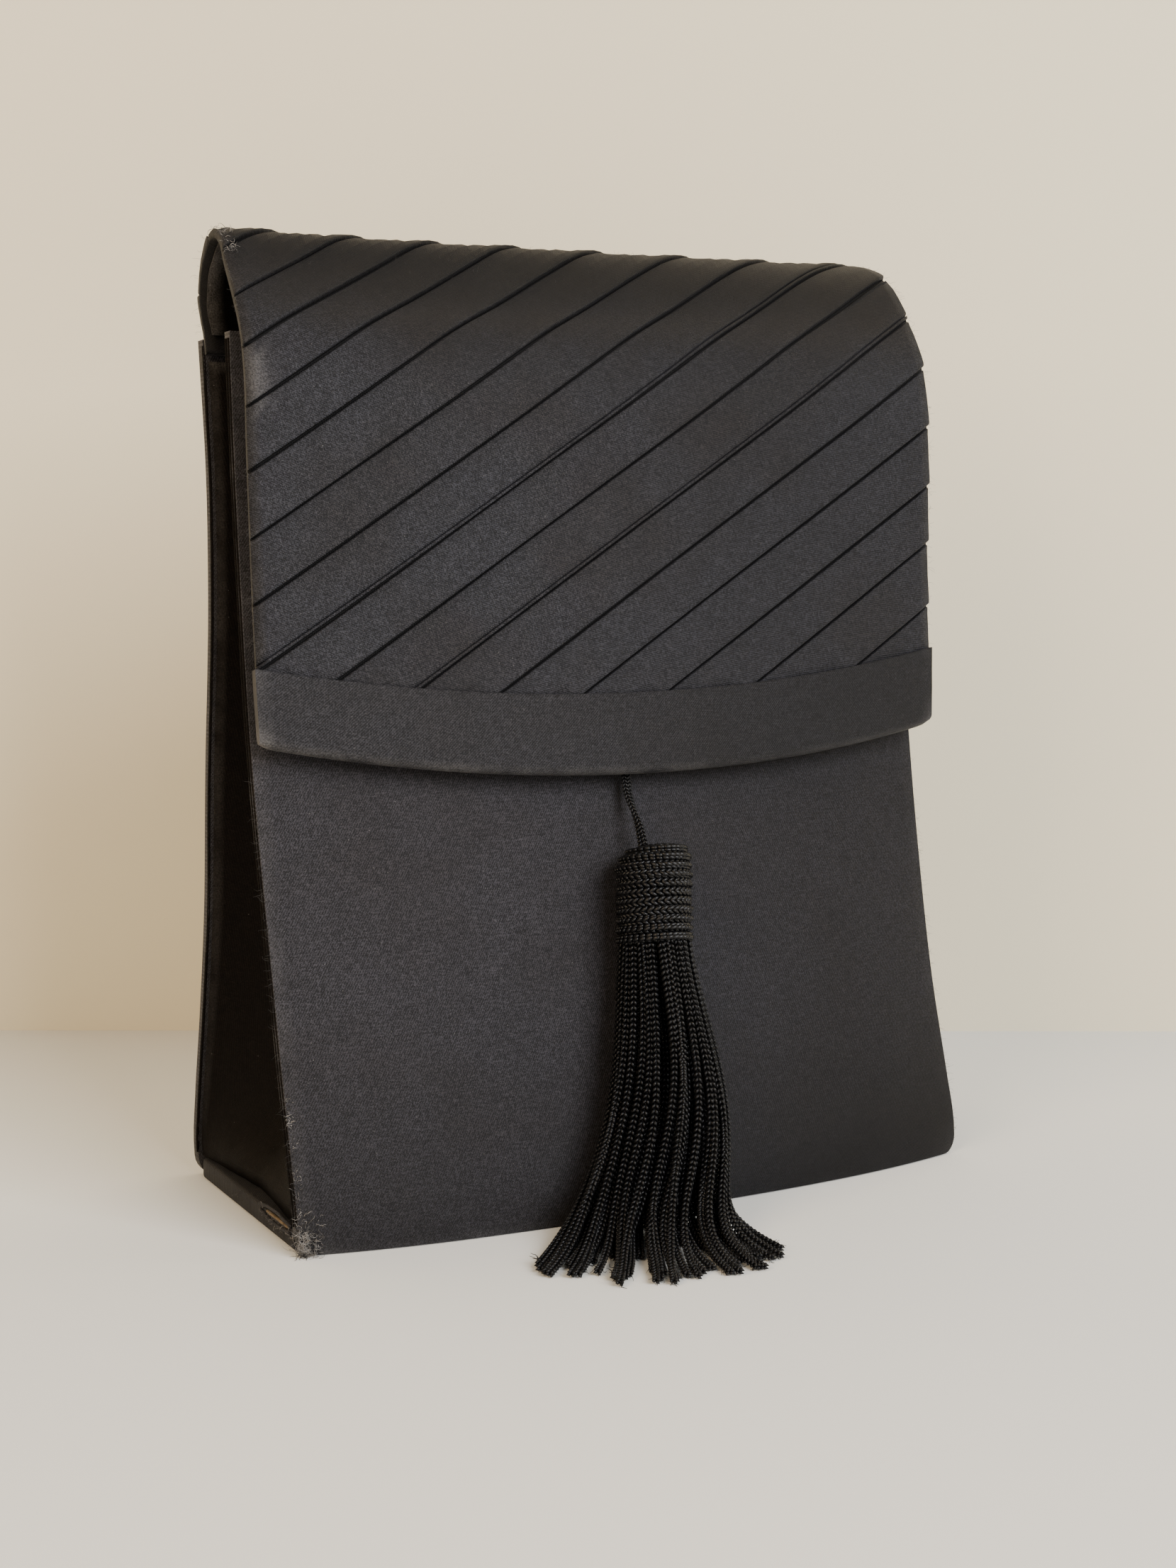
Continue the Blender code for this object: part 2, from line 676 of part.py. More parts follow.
def main():
    for obj in list(bpy.data.objects):
        bpy.data.objects.remove(obj)
    bag = bpy.data.collections.new("evening_handbag")
    helpers = bpy.data.collections.new("tassel_locks")
    bpy.context.scene.collection.children.link(bag)
    bpy.context.scene.collection.children.link(helpers)

    body_cloth = new_material("body_cloth", BODY_CLOTH, 0.85)
    base = add_object("base_board", base_mesh(), bag, body_cloth)
    round_edges(base, PANEL_ROUNDING, ROUNDING_SEGMENTS)
    front = add_object("front_panel", panel_mesh("front_panel", front_face, 1), bag,
                       new_material("front_cloth", BODY_CLOTH, 0.85))
    back = add_object("back_panel", panel_mesh("back_panel", lambda x, z: back_face(z), -1), bag,
                      new_material("back_cloth", BODY_CLOTH, 0.85))
    for panel in (front, back):
        round_edges(panel, PANEL_ROUNDING, ROUNDING_SEGMENTS)
    for name, sign in (("gusset_left", -1), ("gusset_right", 1)):
        add_object(name, gusset_mesh(name, sign), bag, new_material(name + "_cloth", SIDE_CLOTH, 0.9))
    add_object("flap", flap_mesh(), bag, new_material("pleated_cloth", PLEAT_CLOTH, 0.8))
    add_object("flap_lining", lining_mesh(), bag, new_material("lining_cloth", LINING_CLOTH, 0.8))
    band = add_object("flap_binding", band_mesh(), bag, new_material("band_cloth", PLEAT_CLOTH, 0.8))
    wall = band.modifiers.new("cloth_thickness", "SOLIDIFY")
    wall.thickness = BAND_THICKNESS
    wall.offset = 0.0
    wall.use_even_offset = True
    silk = new_material("silk", SILK, 0.45)
    points = curve_through(cord_points(), CORD_POINTS)
    cord = tube("tassel_cord", points, [CORD_DIAMETER / 2] * len(points), bag)
    cord.data.materials.append(new_material("cord_silk", SILK, 0.5))
    tassel(bag, helpers, silk)


main()
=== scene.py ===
"""A small black evening handbag on a table: a twill body, a pleated flap with a bound edge, and a long tassel.

Metres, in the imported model's frame: the table is at z = 0 and -Y is the bag's front. Each section makes one kind
of piece, in the order in which the bag goes together, with its cloth or silk and what fixes it.
"""
import math
import random

import bmesh
import bpy
import numpy as np
from mathutils import Matrix, Vector, noise


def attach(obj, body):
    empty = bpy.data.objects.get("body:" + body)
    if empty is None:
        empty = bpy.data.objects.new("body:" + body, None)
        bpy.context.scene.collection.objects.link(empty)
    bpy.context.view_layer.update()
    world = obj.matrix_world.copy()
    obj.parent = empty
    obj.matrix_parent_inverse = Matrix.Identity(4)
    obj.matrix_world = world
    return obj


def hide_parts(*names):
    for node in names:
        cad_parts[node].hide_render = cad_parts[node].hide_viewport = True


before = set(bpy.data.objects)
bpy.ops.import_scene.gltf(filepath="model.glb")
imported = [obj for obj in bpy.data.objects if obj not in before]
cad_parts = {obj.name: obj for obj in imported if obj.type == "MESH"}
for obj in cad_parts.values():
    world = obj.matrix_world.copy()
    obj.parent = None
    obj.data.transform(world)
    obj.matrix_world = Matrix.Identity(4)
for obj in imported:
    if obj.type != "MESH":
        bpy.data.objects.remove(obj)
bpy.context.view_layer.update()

# Camera
# A hand-held view from the bag's left, level with its middle and tipped a little down.
CAMERA_PLACE = Vector((-0.2371, -0.4441, 0.1434))
CAMERA_TURN = math.radians(-28.251)
CAMERA_TIP = math.radians(5.570)
CAMERA_ROLL = math.radians(0.055)
CAMERA_LENS = 47.68
CAMERA_SENSOR = 36.0

camera_back = Vector((math.sin(CAMERA_TURN) * math.cos(CAMERA_TIP), -math.cos(CAMERA_TURN) * math.cos(CAMERA_TIP),
                      math.sin(CAMERA_TIP)))
camera_level = (-camera_back).cross(Vector((0, 0, 1))).normalized()
camera_above = camera_level.cross(-camera_back)
camera_right = camera_level * math.cos(CAMERA_ROLL) + camera_above * math.sin(CAMERA_ROLL)
camera_up = camera_above * math.cos(CAMERA_ROLL) - camera_level * math.sin(CAMERA_ROLL)
camera_data = bpy.data.cameras.new("camera")
camera_data.lens = CAMERA_LENS
camera_data.sensor_width = CAMERA_SENSOR
camera_data.clip_start = 0.01
camera = bpy.data.objects.new("camera", camera_data)
camera.matrix_world = (Matrix.Translation(CAMERA_PLACE)
                       @ Matrix((camera_right, camera_up, camera_back)).transposed().to_4x4())
bpy.context.scene.collection.objects.link(camera)
bpy.context.scene.camera = camera

# Table, wall and light
# A plain pale table against a plain warm wall, which is seen from its front alone, so that it hides nothing in
# other views. The light is a wide window on the right, with a weak warm return from the left.
TABLE_SIZE = 3.0
TABLE_COLOUR = (0.79, 0.79, 0.765)
WALL_COLOUR = (0.745, 0.675, 0.515)
WALL_AWAY = 0.655
WALL_SIZE = 2.4
SKY_COLOUR = (0.92, 0.95, 1.0)
SKY_STRENGTH = 0.17


def add_piece(name, mesh, *materials):
    """Puts a mesh in the scene as an object at the origin."""
    for material in materials:
        mesh.materials.append(material)
    piece = bpy.data.objects.new(name, mesh)
    bpy.context.scene.collection.objects.link(piece)
    return piece


def mesh_from(bm, name, smooth=True):
    """The finished bmesh as a mesh."""
    mesh = bpy.data.meshes.new(name)
    bm.to_mesh(mesh)
    bm.free()
    if smooth:
        mesh.shade_smooth()
    return mesh


def new_finish(name):
    """A node material, with its shader and its tree."""
    material = bpy.data.materials.new(name)
    material.use_nodes = True
    return material, material.node_tree, material.node_tree.nodes["Principled BSDF"]


def stage_plane(name, size, place, colour, one_sided):
    bm = bmesh.new()
    bmesh.ops.create_grid(bm, x_segments=1, y_segments=1, size=size / 2, matrix=place)
    material, tree, shader = new_finish(name + "_finish")
    shader.inputs["Base Color"].default_value = (*colour, 1.0)
    shader.inputs["Roughness"].default_value = 0.9
    shader.inputs["Specular IOR Level"].default_value = 0.2
    if one_sided:
        clear = tree.nodes.new("ShaderNodeBsdfTransparent")
        side = tree.nodes.new("ShaderNodeNewGeometry")
        pick = tree.nodes.new("ShaderNodeMixShader")
        tree.links.new(side.outputs["Backfacing"], pick.inputs["Fac"])
        tree.links.new(shader.outputs["BSDF"], pick.inputs[1])
        tree.links.new(clear.outputs["BSDF"], pick.inputs[2])
        tree.links.new(pick.outputs["Shader"], tree.nodes["Material Output"].inputs["Surface"])
    plane = add_piece(name, mesh_from(bm, name), material)


def window_light(name, place, aim, size, power, colour):
    lamp = bpy.data.lights.new(name, "AREA")
    lamp.shape = "RECTANGLE"
    lamp.size, lamp.size_y = size
    lamp.energy = power
    lamp.color = colour
    light = bpy.data.objects.new(name, lamp)
    light.matrix_world = (Matrix.Translation(place)
                          @ (Vector(place) - Vector(aim)).to_track_quat("Z", "Y").to_matrix().to_4x4())
    bpy.context.scene.collection.objects.link(light)


ahead = Vector((-camera_back.x, -camera_back.y, 0)).normalized()
wall_foot = Vector((CAMERA_PLACE.x, CAMERA_PLACE.y, 0)) + ahead * WALL_AWAY
stage_plane("table", TABLE_SIZE, Matrix.Identity(4), TABLE_COLOUR, one_sided=False)
stage_plane("wall", WALL_SIZE, Matrix.Translation(wall_foot + Vector((0, 0, WALL_SIZE / 2)))
            @ Matrix.Rotation(CAMERA_TURN, 4, "Z") @ Matrix.Rotation(math.pi / 2, 4, "X"), WALL_COLOUR, one_sided=True)
window_light("window", (0.30, -1.26, 0.74), (0, 0, 0.11), (0.95, 0.8), 33.5, (0.99, 0.985, 0.985))
window_light("warm_return", (-1.05, -0.45, 0.65), (-0.35, 0.35, 0.05), (0.8, 0.8), 14.0, (1.0, 0.77, 0.50))
sky = bpy.data.worlds.new("sky")
sky.use_nodes = True
sky.node_tree.nodes["Background"].inputs["Color"].default_value = (*SKY_COLOUR, 1.0)
sky.node_tree.nodes["Background"].inputs["Strength"].default_value = SKY_STRENGTH
bpy.context.scene.world = sky

# Tassel cord
# Two thin braided silk strands side by side. They are sewn behind the flap's bound edge, come out under it and run
# down the front into the top of the tassel's head.
CORD_ROUTE = (
    (0.00011, -0.01907, 0.11228), (0.00011, -0.01946, 0.10976), (0.00010, -0.01985, 0.10724),
    (0.00009, -0.02021, 0.10472), (0.00008, -0.02059, 0.10220), (0.00009, -0.02109, 0.09969),
    (0.00004, -0.02163, 0.09719), (-0.00004, -0.02235, 0.09482), (0.00000, -0.02338, 0.09270),
    (0.00016, -0.02460, 0.09078), (0.00034, -0.02590, 0.08880), (0.00048, -0.02702, 0.08682),
    (0.00058, -0.02788, 0.08480), (0.00062, -0.02856, 0.08286),
)
CORD_STRAND = 0.00125
CORD_TWIST = math.radians(300)
LINK_PITCH = 0.74
LINK_LEAN = math.radians(30)
SILK_BLACK = (0.0012, 0.0012, 0.0014)
SILK_SHINE = (0.0075, 0.0075, 0.0085)


def braid_link(width, rings):
    """One link of a braid: four slim loops that lean together in pairs, like an ear of wheat."""
    bm = bmesh.new()
    for face in (1, -1):
        for side in (1, -1):
            place = (Matrix.Translation((0, side * width * 0.22, face * width * 0.19))
                     @ Matrix.Rotation(side * LINK_LEAN, 4, "Z")
                     @ Matrix.Diagonal((width * 0.56, width * 0.24, width * 0.29, 1))
                     @ Matrix.Rotation(math.pi / 2, 4, "Y"))
            bmesh.ops.create_uvsphere(bm, u_segments=6, v_segments=rings, radius=1.0, matrix=place)
    return mesh_from(bm, "link")


def add_braid(bm, points, width, rings=2):
    """Lays a row of links along the points, into one mesh with the rest."""
    run = sum((b - a).length for a, b in zip(points, points[1:]))
    curve = bpy.data.curves.new("guide", "CURVE")
    curve.dimensions = "3D"
    spline = curve.splines.new("POLY")
    spline.points.add(len(points) - 1)
    for item, point in zip(spline.points, points):
        item.co = (*point, 1.0)
    guide = bpy.data.objects.new("guide", curve)
    bpy.context.scene.collection.objects.link(guide)
    strand = add_piece("strand", braid_link(width, rings))
    row = strand.modifiers.new("row", "ARRAY")
    row.count = math.ceil(run / (width * LINK_PITCH)) + 1
    row.use_relative_offset = False
    row.use_constant_offset = True
    row.constant_offset_displace = (width * LINK_PITCH, 0, 0)
    bend = strand.modifiers.new("bend", "CURVE")
    bend.object = guide
    bpy.context.view_layer.update()
    laid = bpy.data.meshes.new_from_object(strand.evaluated_get(bpy.context.evaluated_depsgraph_get()))
    bm.from_mesh(laid)
    for item in (strand, guide):
        bpy.data.objects.remove(item)
    bpy.data.meshes.remove(laid)


def new_effect(name, inputs, outputs):
    """An empty node group with named inputs (name, kind, default) and outputs (name, kind)."""
    group = bpy.data.node_groups.new(name, "ShaderNodeTree")
    for label, kind, value in inputs:
        socket = group.interface.new_socket(label, in_out="INPUT", socket_type=kind)
        if value is not None:
            socket.default_value = value
    for label, kind in outputs:
        group.interface.new_socket(label, in_out="OUTPUT", socket_type=kind)
    return group, group.nodes.new("NodeGroupInput"), group.nodes.new("NodeGroupOutput")


def node(tree, kind, links=(), **settings):
    """Adds a node. settings set its properties, and links give (input, value or socket) pairs."""
    made = tree.nodes.new(kind)
    for key, value in settings.items():
        setattr(made, key, value)
    for key, value in links:
        if isinstance(value, bpy.types.NodeSocket):
            tree.links.new(value, made.inputs[key])
        else:
            made.inputs[key].default_value = value
    return made


def sums(tree, operation, a, b=None, c=None):
    """One step of arithmetic, as the socket that holds its answer."""
    made = tree.nodes.new("ShaderNodeMath")
    made.operation = operation
    for slot_number, value in enumerate((a, b, c)):
        if isinstance(value, bpy.types.NodeSocket):
            tree.links.new(value, made.inputs[slot_number])
        elif value is not None:
            made.inputs[slot_number].default_value = value
    return made.outputs[0]


def mixed(tree, share, a, b):
    """Colour a turning into colour b."""
    made = tree.nodes.new("ShaderNodeMix")
    made.data_type = "RGBA"
    for key, value in ((0, share), (6, a), (7, b)):
        if isinstance(value, bpy.types.NodeSocket):
            tree.links.new(value, made.inputs[key])
        else:
            made.inputs[key].default_value = value if key == 0 else (*value, 1.0)
    return made.outputs[2]


fibres, fibres_in, fibres_out = new_effect(
    "silk_fibres",
    (("Place", "NodeSocketVector", None), ("Dark", "NodeSocketColor", (0, 0, 0, 1)),
     ("Light", "NodeSocketColor", (0, 0, 0, 1))),
    (("Color", "NodeSocketColor"), ("Roughness", "NodeSocketFloat"), ("Height", "NodeSocketFloat")),
)
fibre_grain = node(fibres, "ShaderNodeTexNoise", (("Vector", fibres_in.outputs["Place"]), ("Scale", 5200.0),
                                                  ("Detail", 3.0), ("Roughness", 0.6)))
fibre_patch = node(fibres, "ShaderNodeTexNoise", (("Vector", fibres_in.outputs["Place"]), ("Scale", 420.0),
                                                  ("Detail", 2.0)))
fibre_mix = sums(fibres, "MULTIPLY", fibre_grain.outputs["Fac"], fibre_patch.outputs["Fac"])
fibre_mix = sums(fibres, "MULTIPLY", fibre_mix, 2.2)
fibre_mix.node.use_clamp = True
fibre_blend = node(fibres, "ShaderNodeMix", (), data_type="RGBA")
fibres.links.new(fibre_mix, fibre_blend.inputs[0])
fibres.links.new(fibres_in.outputs["Dark"], fibre_blend.inputs[6])
fibres.links.new(fibres_in.outputs["Light"], fibre_blend.inputs[7])
fibres.links.new(fibre_blend.outputs[2], fibres_out.inputs["Color"])
fibres.links.new(sums(fibres, "MULTIPLY_ADD", fibre_patch.outputs["Fac"], 0.20, 0.20), fibres_out.inputs["Roughness"])
fibres.links.new(fibre_grain.outputs["Fac"], fibres_out.inputs["Height"])


def silk_finish(name, dark, light, bump=0.00006, shine=0.22):
    material, tree, shader = new_finish(name)
    place = node(tree, "ShaderNodeTexCoord")
    silk = node(tree, "ShaderNodeGroup", (), node_tree=fibres)
    tree.links.new(place.outputs["Object"], silk.inputs["Place"])
    silk.inputs["Dark"].default_value = (*dark, 1.0)
    silk.inputs["Light"].default_value = (*light, 1.0)
    relief = node(tree, "ShaderNodeBump", (("Distance", bump), ("Strength", 0.6), ("Height", silk.outputs["Height"])))
    tree.links.new(silk.outputs["Color"], shader.inputs["Base Color"])
    tree.links.new(silk.outputs["Roughness"], shader.inputs["Roughness"])
    tree.links.new(relief.outputs["Normal"], shader.inputs["Normal"])
    shader.inputs["Specular IOR Level"].default_value = shine
    return material


def curve_points(points, count):
    """Evenly spread points on a smooth curve through a few chosen ones."""
    given = np.array([list(point) for point in points])
    run = np.concatenate([[0.0], np.cumsum(np.linalg.norm(np.diff(given, axis=0), axis=1))])
    at = np.linspace(0.0, run[-1], count)
    slopes = np.gradient(given, run, axis=0)
    row = np.clip(np.searchsorted(run, at) - 1, 0, len(run) - 2)
    step = (run[row + 1] - run[row])[:, None]
    t = (at - run[row])[:, None] / step
    made = ((2 * t**3 - 3 * t**2 + 1) * given[row] + (t**3 - 2 * t**2 + t) * step * slopes[row]
            + (3 * t**2 - 2 * t**3) * given[row + 1] + (t**3 - t**2) * step * slopes[row + 1])
    return [Vector(point) for point in made]


cord_silk = silk_finish("cord_silk_finish", SILK_BLACK, SILK_SHINE)
cord_bm = bmesh.new()
cord_line = curve_points(CORD_ROUTE, 40)
for half in (0, 1):
    strand_line = []
    for number, point in enumerate(cord_line):
        angle = half * math.pi + CORD_TWIST * number / (len(cord_line) - 1) + 0.5
        strand_line.append(point + Vector((math.cos(angle), math.sin(angle) * 0.7, 0)) * CORD_STRAND * 0.42)
    add_braid(cord_bm, strand_line, CORD_STRAND, rings=4)
tassel_cord = add_piece("tassel_cord_braid", mesh_from(cord_bm, "tassel_cord_braid"), cord_silk)
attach(tassel_cord, "root")
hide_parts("tassel_cord")

# Tassel head
# A wooden core, all wound with one braided silk cord: ten turns side by side, the top one narrower, and a flat
# spiral that closes the top round the cord.
HEAD_TOP = Vector((0.0017, -0.03158, 0.0826))
HEAD_FOOT = Vector((-0.0010, -0.03707, 0.0608))
HEAD_RADIUS = 0.0090
HEAD_CORD = 0.0020
HEAD_TURNS = 10
CORE_PROFILE = ((0.0, 0.0), (0.45, 0.01), (0.72, 0.05), (0.78, 0.14), (0.80, 0.5), (0.80, 0.96), (0.70, 1.0), (0.0, 1.0))

head_axis = (HEAD_FOOT - HEAD_TOP).normalized()
head_height = (HEAD_FOOT - HEAD_TOP).length
head_side = Vector((1, 0, 0))
head_front = head_side.cross(head_axis).normalized()
tassel_silk = silk_finish("tassel_silk_finish", SILK_BLACK, SILK_SHINE)


def round_head(angle, out, down):
    """A point round the head's axis: its angle, its distance out and how far down it is."""
    return HEAD_TOP + head_axis * down + (head_side * math.cos(angle) + head_front * math.sin(angle)) * out


winding = []
flat_turns = 2
for number in range(flat_turns * 28):
    share = number / (flat_turns * 28)
    winding.append(round_head(share * flat_turns * math.tau, 0.0016 + share * (HEAD_RADIUS * 0.80 - 0.0016),
                              0.0006 + 0.0010 * share**2))
turn_pitch = (head_height - 0.0020) / HEAD_TURNS
for number in range(HEAD_TURNS * 36 + 1):
    turn = number / 36
    out = HEAD_RADIUS - HEAD_CORD * 0.46 - 0.0013 * max(1.2 - turn, 0.0) ** 2 - 0.00025 * math.sin(turn * 2.3) ** 2
    winding.append(round_head(turn * math.tau, out, 0.0016 + turn * turn_pitch))
head_bm = bmesh.new()
add_braid(head_bm, winding, HEAD_CORD, rings=4)
head_silk = silk_finish("head_silk_finish", SILK_BLACK, SILK_SHINE, shine=0.27)
tassel_head = add_piece("tassel_head_winding", mesh_from(head_bm, "tassel_head_winding"), head_silk)
core_bm = bmesh.new()
core_line = [core_bm.verts.new(round_head(0.0, out * HEAD_RADIUS, 0.001 + down * (head_height - 0.0012)))
             for out, down in CORE_PROFILE]
core_edges = [core_bm.edges.new(pair) for pair in zip(core_line, core_line[1:])]
bmesh.ops.spin(core_bm, geom=core_line + core_edges, cent=HEAD_TOP, axis=head_axis, angle=math.tau, steps=28,
               use_merge=True)
bmesh.ops.remove_doubles(core_bm, verts=core_bm.verts[:], dist=1e-6)
bmesh.ops.recalc_face_normals(core_bm, faces=core_bm.faces[:])
tassel_core = add_piece("tassel_head_core", mesh_from(core_bm, "tassel_head_core"), tassel_silk)
for piece in (tassel_head, tassel_core):
    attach(piece, "root")
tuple(CORD_ROUTE[0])

# Tassel skirt
# Some fifty strands of braided silk, sewn in under the winding. They hang along the front, part a little left of
# the middle, spread on the table and end in frayed cut tips.
SKIRT_STRAND = 0.0017
SKIRT_LENGTH = 0.060
SKIRT_REACH = 0.046
SKIRT_SEED = 11
# Columns: angle round the head in degrees, sideways and forward reach of the tip as shares of the reach
SKIRT_TIPS = (
    (100, -0.56, 0.62), (130, -0.80, 0.56), (160, -1.02, 0.66), (190, -0.90, 0.80), (215, -0.82, 0.92),
    (238, -0.72, 1.00), (256, -0.60, 1.06), (275, -0.44, 1.08), (295, -0.29, 1.08), (318, -0.12, 1.10),
    (345, 0.02, 1.05), (370, 0.09, 0.96), (398, -0.08, 0.72), (428, -0.34, 0.66), (460, -0.56, 0.62),
)
# Rings of strands: how many, their distance out as a share of the head's radius, and their spread at the tips
SKIRT_RINGS = ((32, 0.83, 1.0), (28, 0.60, 0.88), (20, 0.32, 0.74))


def bezier_points(a, b, c, d, count):
    made = []
    for step in range(count):
        t = step / (count - 1)
        s = 1 - t
        made.append(a * s**3 + b * 3 * s**2 * t + c * 3 * s * t**2 + d * t**3)
    return made


def side_share(side):
    """0 for a strand that ends at the far left, 1 for one that ends at the right."""
    return min(max((side + 1.0) / 1.1, 0.0), 1.0)


def strand_line(angle, ring, spread, chance):
    """Points of one strand: out of the head, down along the panel and out over the table."""
    degrees = (math.degrees(angle) - 100) % 360 + 100
    table = np.array(SKIRT_TIPS)
    side = float(np.interp(degrees, table[:, 0], table[:, 1]))
    fore = float(np.interp(degrees, table[:, 0], table[:, 2]))
    middle_side, middle_fore = -0.42, 0.86
    side = middle_side + (side - middle_side) * spread + chance.uniform(-0.08, 0.08)
    fore = middle_fore + (fore - middle_fore) * spread + chance.uniform(-0.09, 0.05)
    outward = Vector((math.cos(angle), math.sin(angle), 0))
    start = HEAD_FOOT - head_axis * chance.uniform(0.0008, 0.0022) + outward * HEAD_RADIUS * ring
    tip = Vector((HEAD_FOOT.x + side * SKIRT_REACH, HEAD_FOOT.y - fore * SKIRT_REACH, SKIRT_STRAND / 2 + 0.0002))
    flatter = 1 - 0.6 * max(outward.y, 0.0)
    knee = start + head_axis * SKIRT_LENGTH * 0.72 + outward * 0.0064 * ring * flatter
    knee.y -= 0.0026
    landing = start.lerp(tip, 0.42)
    landing.z = SKIRT_STRAND * 1.4
    points = bezier_points(start, knee, landing, tip, 26)
    phase = chance.uniform(0, math.tau)
    sway = chance.uniform(0.0004, 0.0015)
    across_way = Vector((math.sin(angle), -math.cos(angle), 0))
    for number, point in enumerate(points):
        share = number / 25
        swing = 0.0026 * math.sin(share * math.tau * 0.95 + 0.4 * math.sin(angle * 2)) * (0.4 + side_share(side))
        point = point + Vector((swing * math.sin(share * math.pi) ** 0.5, 0, 0))
        points[number] = point + across_way * sway * math.sin(phase + share * 7.0) * math.sin(share * math.pi)
        points[number].z = max(points[number].z, SKIRT_STRAND / 2 + 0.0001)
    return points


def fibre_mesh(name, lines, thickness):
    """Thin loose fibres: one curve of many short splines, made into a mesh."""
    curve = bpy.data.curves.new(name, "CURVE")
    curve.dimensions = "3D"
    curve.bevel_depth = thickness / 2
    curve.bevel_resolution = 0
    for line in lines:
        spline = curve.splines.new("POLY")
        spline.points.add(len(line) - 1)
        for number, (item, point) in enumerate(zip(spline.points, line)):
            item.co = (*point, 1.0)
            item.radius = 1.0 - 0.6 * number / (len(line) - 1)
    guide = bpy.data.objects.new(name, curve)
    bpy.context.scene.collection.objects.link(guide)
    bpy.context.view_layer.update()
    mesh = bpy.data.meshes.new_from_object(guide.evaluated_get(bpy.context.evaluated_depsgraph_get()))
    bpy.data.objects.remove(guide)
    mesh.materials.clear()
    return mesh


def loose_fibre(start, way, length, curl, chance, low=0.0001):
    """One fibre that starts along a direction and wanders off it."""
    points = [Vector(start)]
    heading = Vector(way).normalized()
    for _ in range(5):
        heading = (heading + Vector([chance.uniform(-curl, curl) for _ in range(3)])).normalized()
        step = points[-1] + heading * length / 5
        step.z = max(step.z, low)
        points.append(step)
    return points


skirt_chance = random.Random(SKIRT_SEED)
tip_fibres = []
skirt_pieces = []
for count, ring, spread in SKIRT_RINGS:
    skirt_bm = bmesh.new()
    for number in range(count):
        angle = math.tau * (number + 0.5 * (ring < 0.8)) / count + skirt_chance.uniform(-0.06, 0.06)
        line = strand_line(angle, ring, spread, skirt_chance)
        add_braid(skirt_bm, line, SKIRT_STRAND)
        way = (line[-1] - line[-3]).normalized()
        for _ in range(9):
            off = Vector([skirt_chance.uniform(-0.6, 0.6) for _ in range(3)])
            tip_fibres.append(loose_fibre(line[-1] - way * 0.0006 + off * SKIRT_STRAND * 0.5, way + off,
                                          skirt_chance.uniform(0.0010, 0.0026), 0.5, skirt_chance))
    name = f"tassel_skirt_{len(skirt_pieces) + 1}"
    skirt_pieces.append(add_piece(name, mesh_from(skirt_bm, name), tassel_silk))
tassel_tips = add_piece("tassel_frayed_tips", fibre_mesh("tassel_frayed_tips", tip_fibres, 0.00022), tassel_silk)
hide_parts("tassel")
for piece in (*skirt_pieces, tassel_tips):
    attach(piece, "root")

# Front and back panels
# Two stiff boards covered in black wool twill, turned in over every edge. The front board bows out at its foot,
# and both lean together towards the top.
BODY_WIDTH = 0.175
BODY_HEIGHT = 0.198
BASE_DEPTH = 0.0715
FOOT_BOW = 0.008
BOW_LOSS = 0.75
BOW_POWER = 3
TOP_SKEW = 0.0021
PANEL_THICKNESS = 0.0035
PANEL_CORNER = 0.0045
PANEL_FOOT = 0.0003
PANEL_ROUNDING = 0.0011
HALF_WIDTH = BODY_WIDTH / 2
HALF_DEPTH = BASE_DEPTH / 2
# Columns: height, front face and back face, as shares of the body's height and of half the base's depth
PANEL_PROFILE = np.array((
    (0.00, 1.000, 0.990), (0.04, 0.990, 1.030), (0.10, 0.900, 0.980), (0.20, 0.740, 0.853), (0.32, 0.580, 0.727),
    (0.50, 0.370, 0.640), (0.70, 0.207, 0.522), (0.85, 0.115, 0.525), (1.00, 0.050, 0.640),
))
TWILL_WARP = 0.19
TWILL_WEFT = 0.31
BODY_DARK = (0.0056, 0.0054, 0.0066)
BODY_LIGHT = (0.0485, 0.0465, 0.0560)
BODY_TINT = (0.038, 0.0335, 0.036)
WORN_COLOUR = (0.135, 0.130, 0.130)
LINT_COLOUR = (0.40, 0.39, 0.38)


def smooth(at, stations, values):
    """Values of a smooth curve through a table's rows, at one place or at many."""
    slopes = np.gradient(values, stations)
    row = np.clip(np.searchsorted(stations, at) - 1, 0, len(stations) - 2)
    step = stations[row + 1] - stations[row]
    t = (at - stations[row]) / step
    return ((2 * t**3 - 3 * t**2 + 1) * values[row] + (t**3 - 2 * t**2 + t) * step * slopes[row]
            + (3 * t**2 - 2 * t**3) * values[row + 1] + (t**3 - t**2) * step * slopes[row + 1])


def ease(value):
    """A soft step from 0 to 1."""
    t = min(max(value, 0.0), 1.0)
    return t * t * (3 - 2 * t)


def front_face(x, z):
    """Y of the front panel's outer face."""
    share = z / BODY_HEIGHT
    bow = FOOT_BOW * (1 - BOW_LOSS * share) * (1 - abs(x / HALF_WIDTH) ** BOW_POWER)
    skew = TOP_SKEW * x / HALF_WIDTH * ease((share - 0.2) / 0.4)
    return -HALF_DEPTH * float(smooth(share, PANEL_PROFILE[:, 0], PANEL_PROFILE[:, 1])) - bow - skew


def back_face(z):
    """Y of the back panel's outer face."""
    return HALF_DEPTH * float(smooth(z / BODY_HEIGHT, PANEL_PROFILE[:, 0], PANEL_PROFILE[:, 2]))


def ripple(x, z, size, seed=0.0):
    """A little unevenness of cloth on its board, about 5 to 30 mm across."""
    broad = noise.noise(Vector((x * 38, z * 38, seed)))
    fine = noise.noise(Vector((x * 170, z * 170, seed + 7)))
    return size * (0.7 * broad + 0.3 * fine)


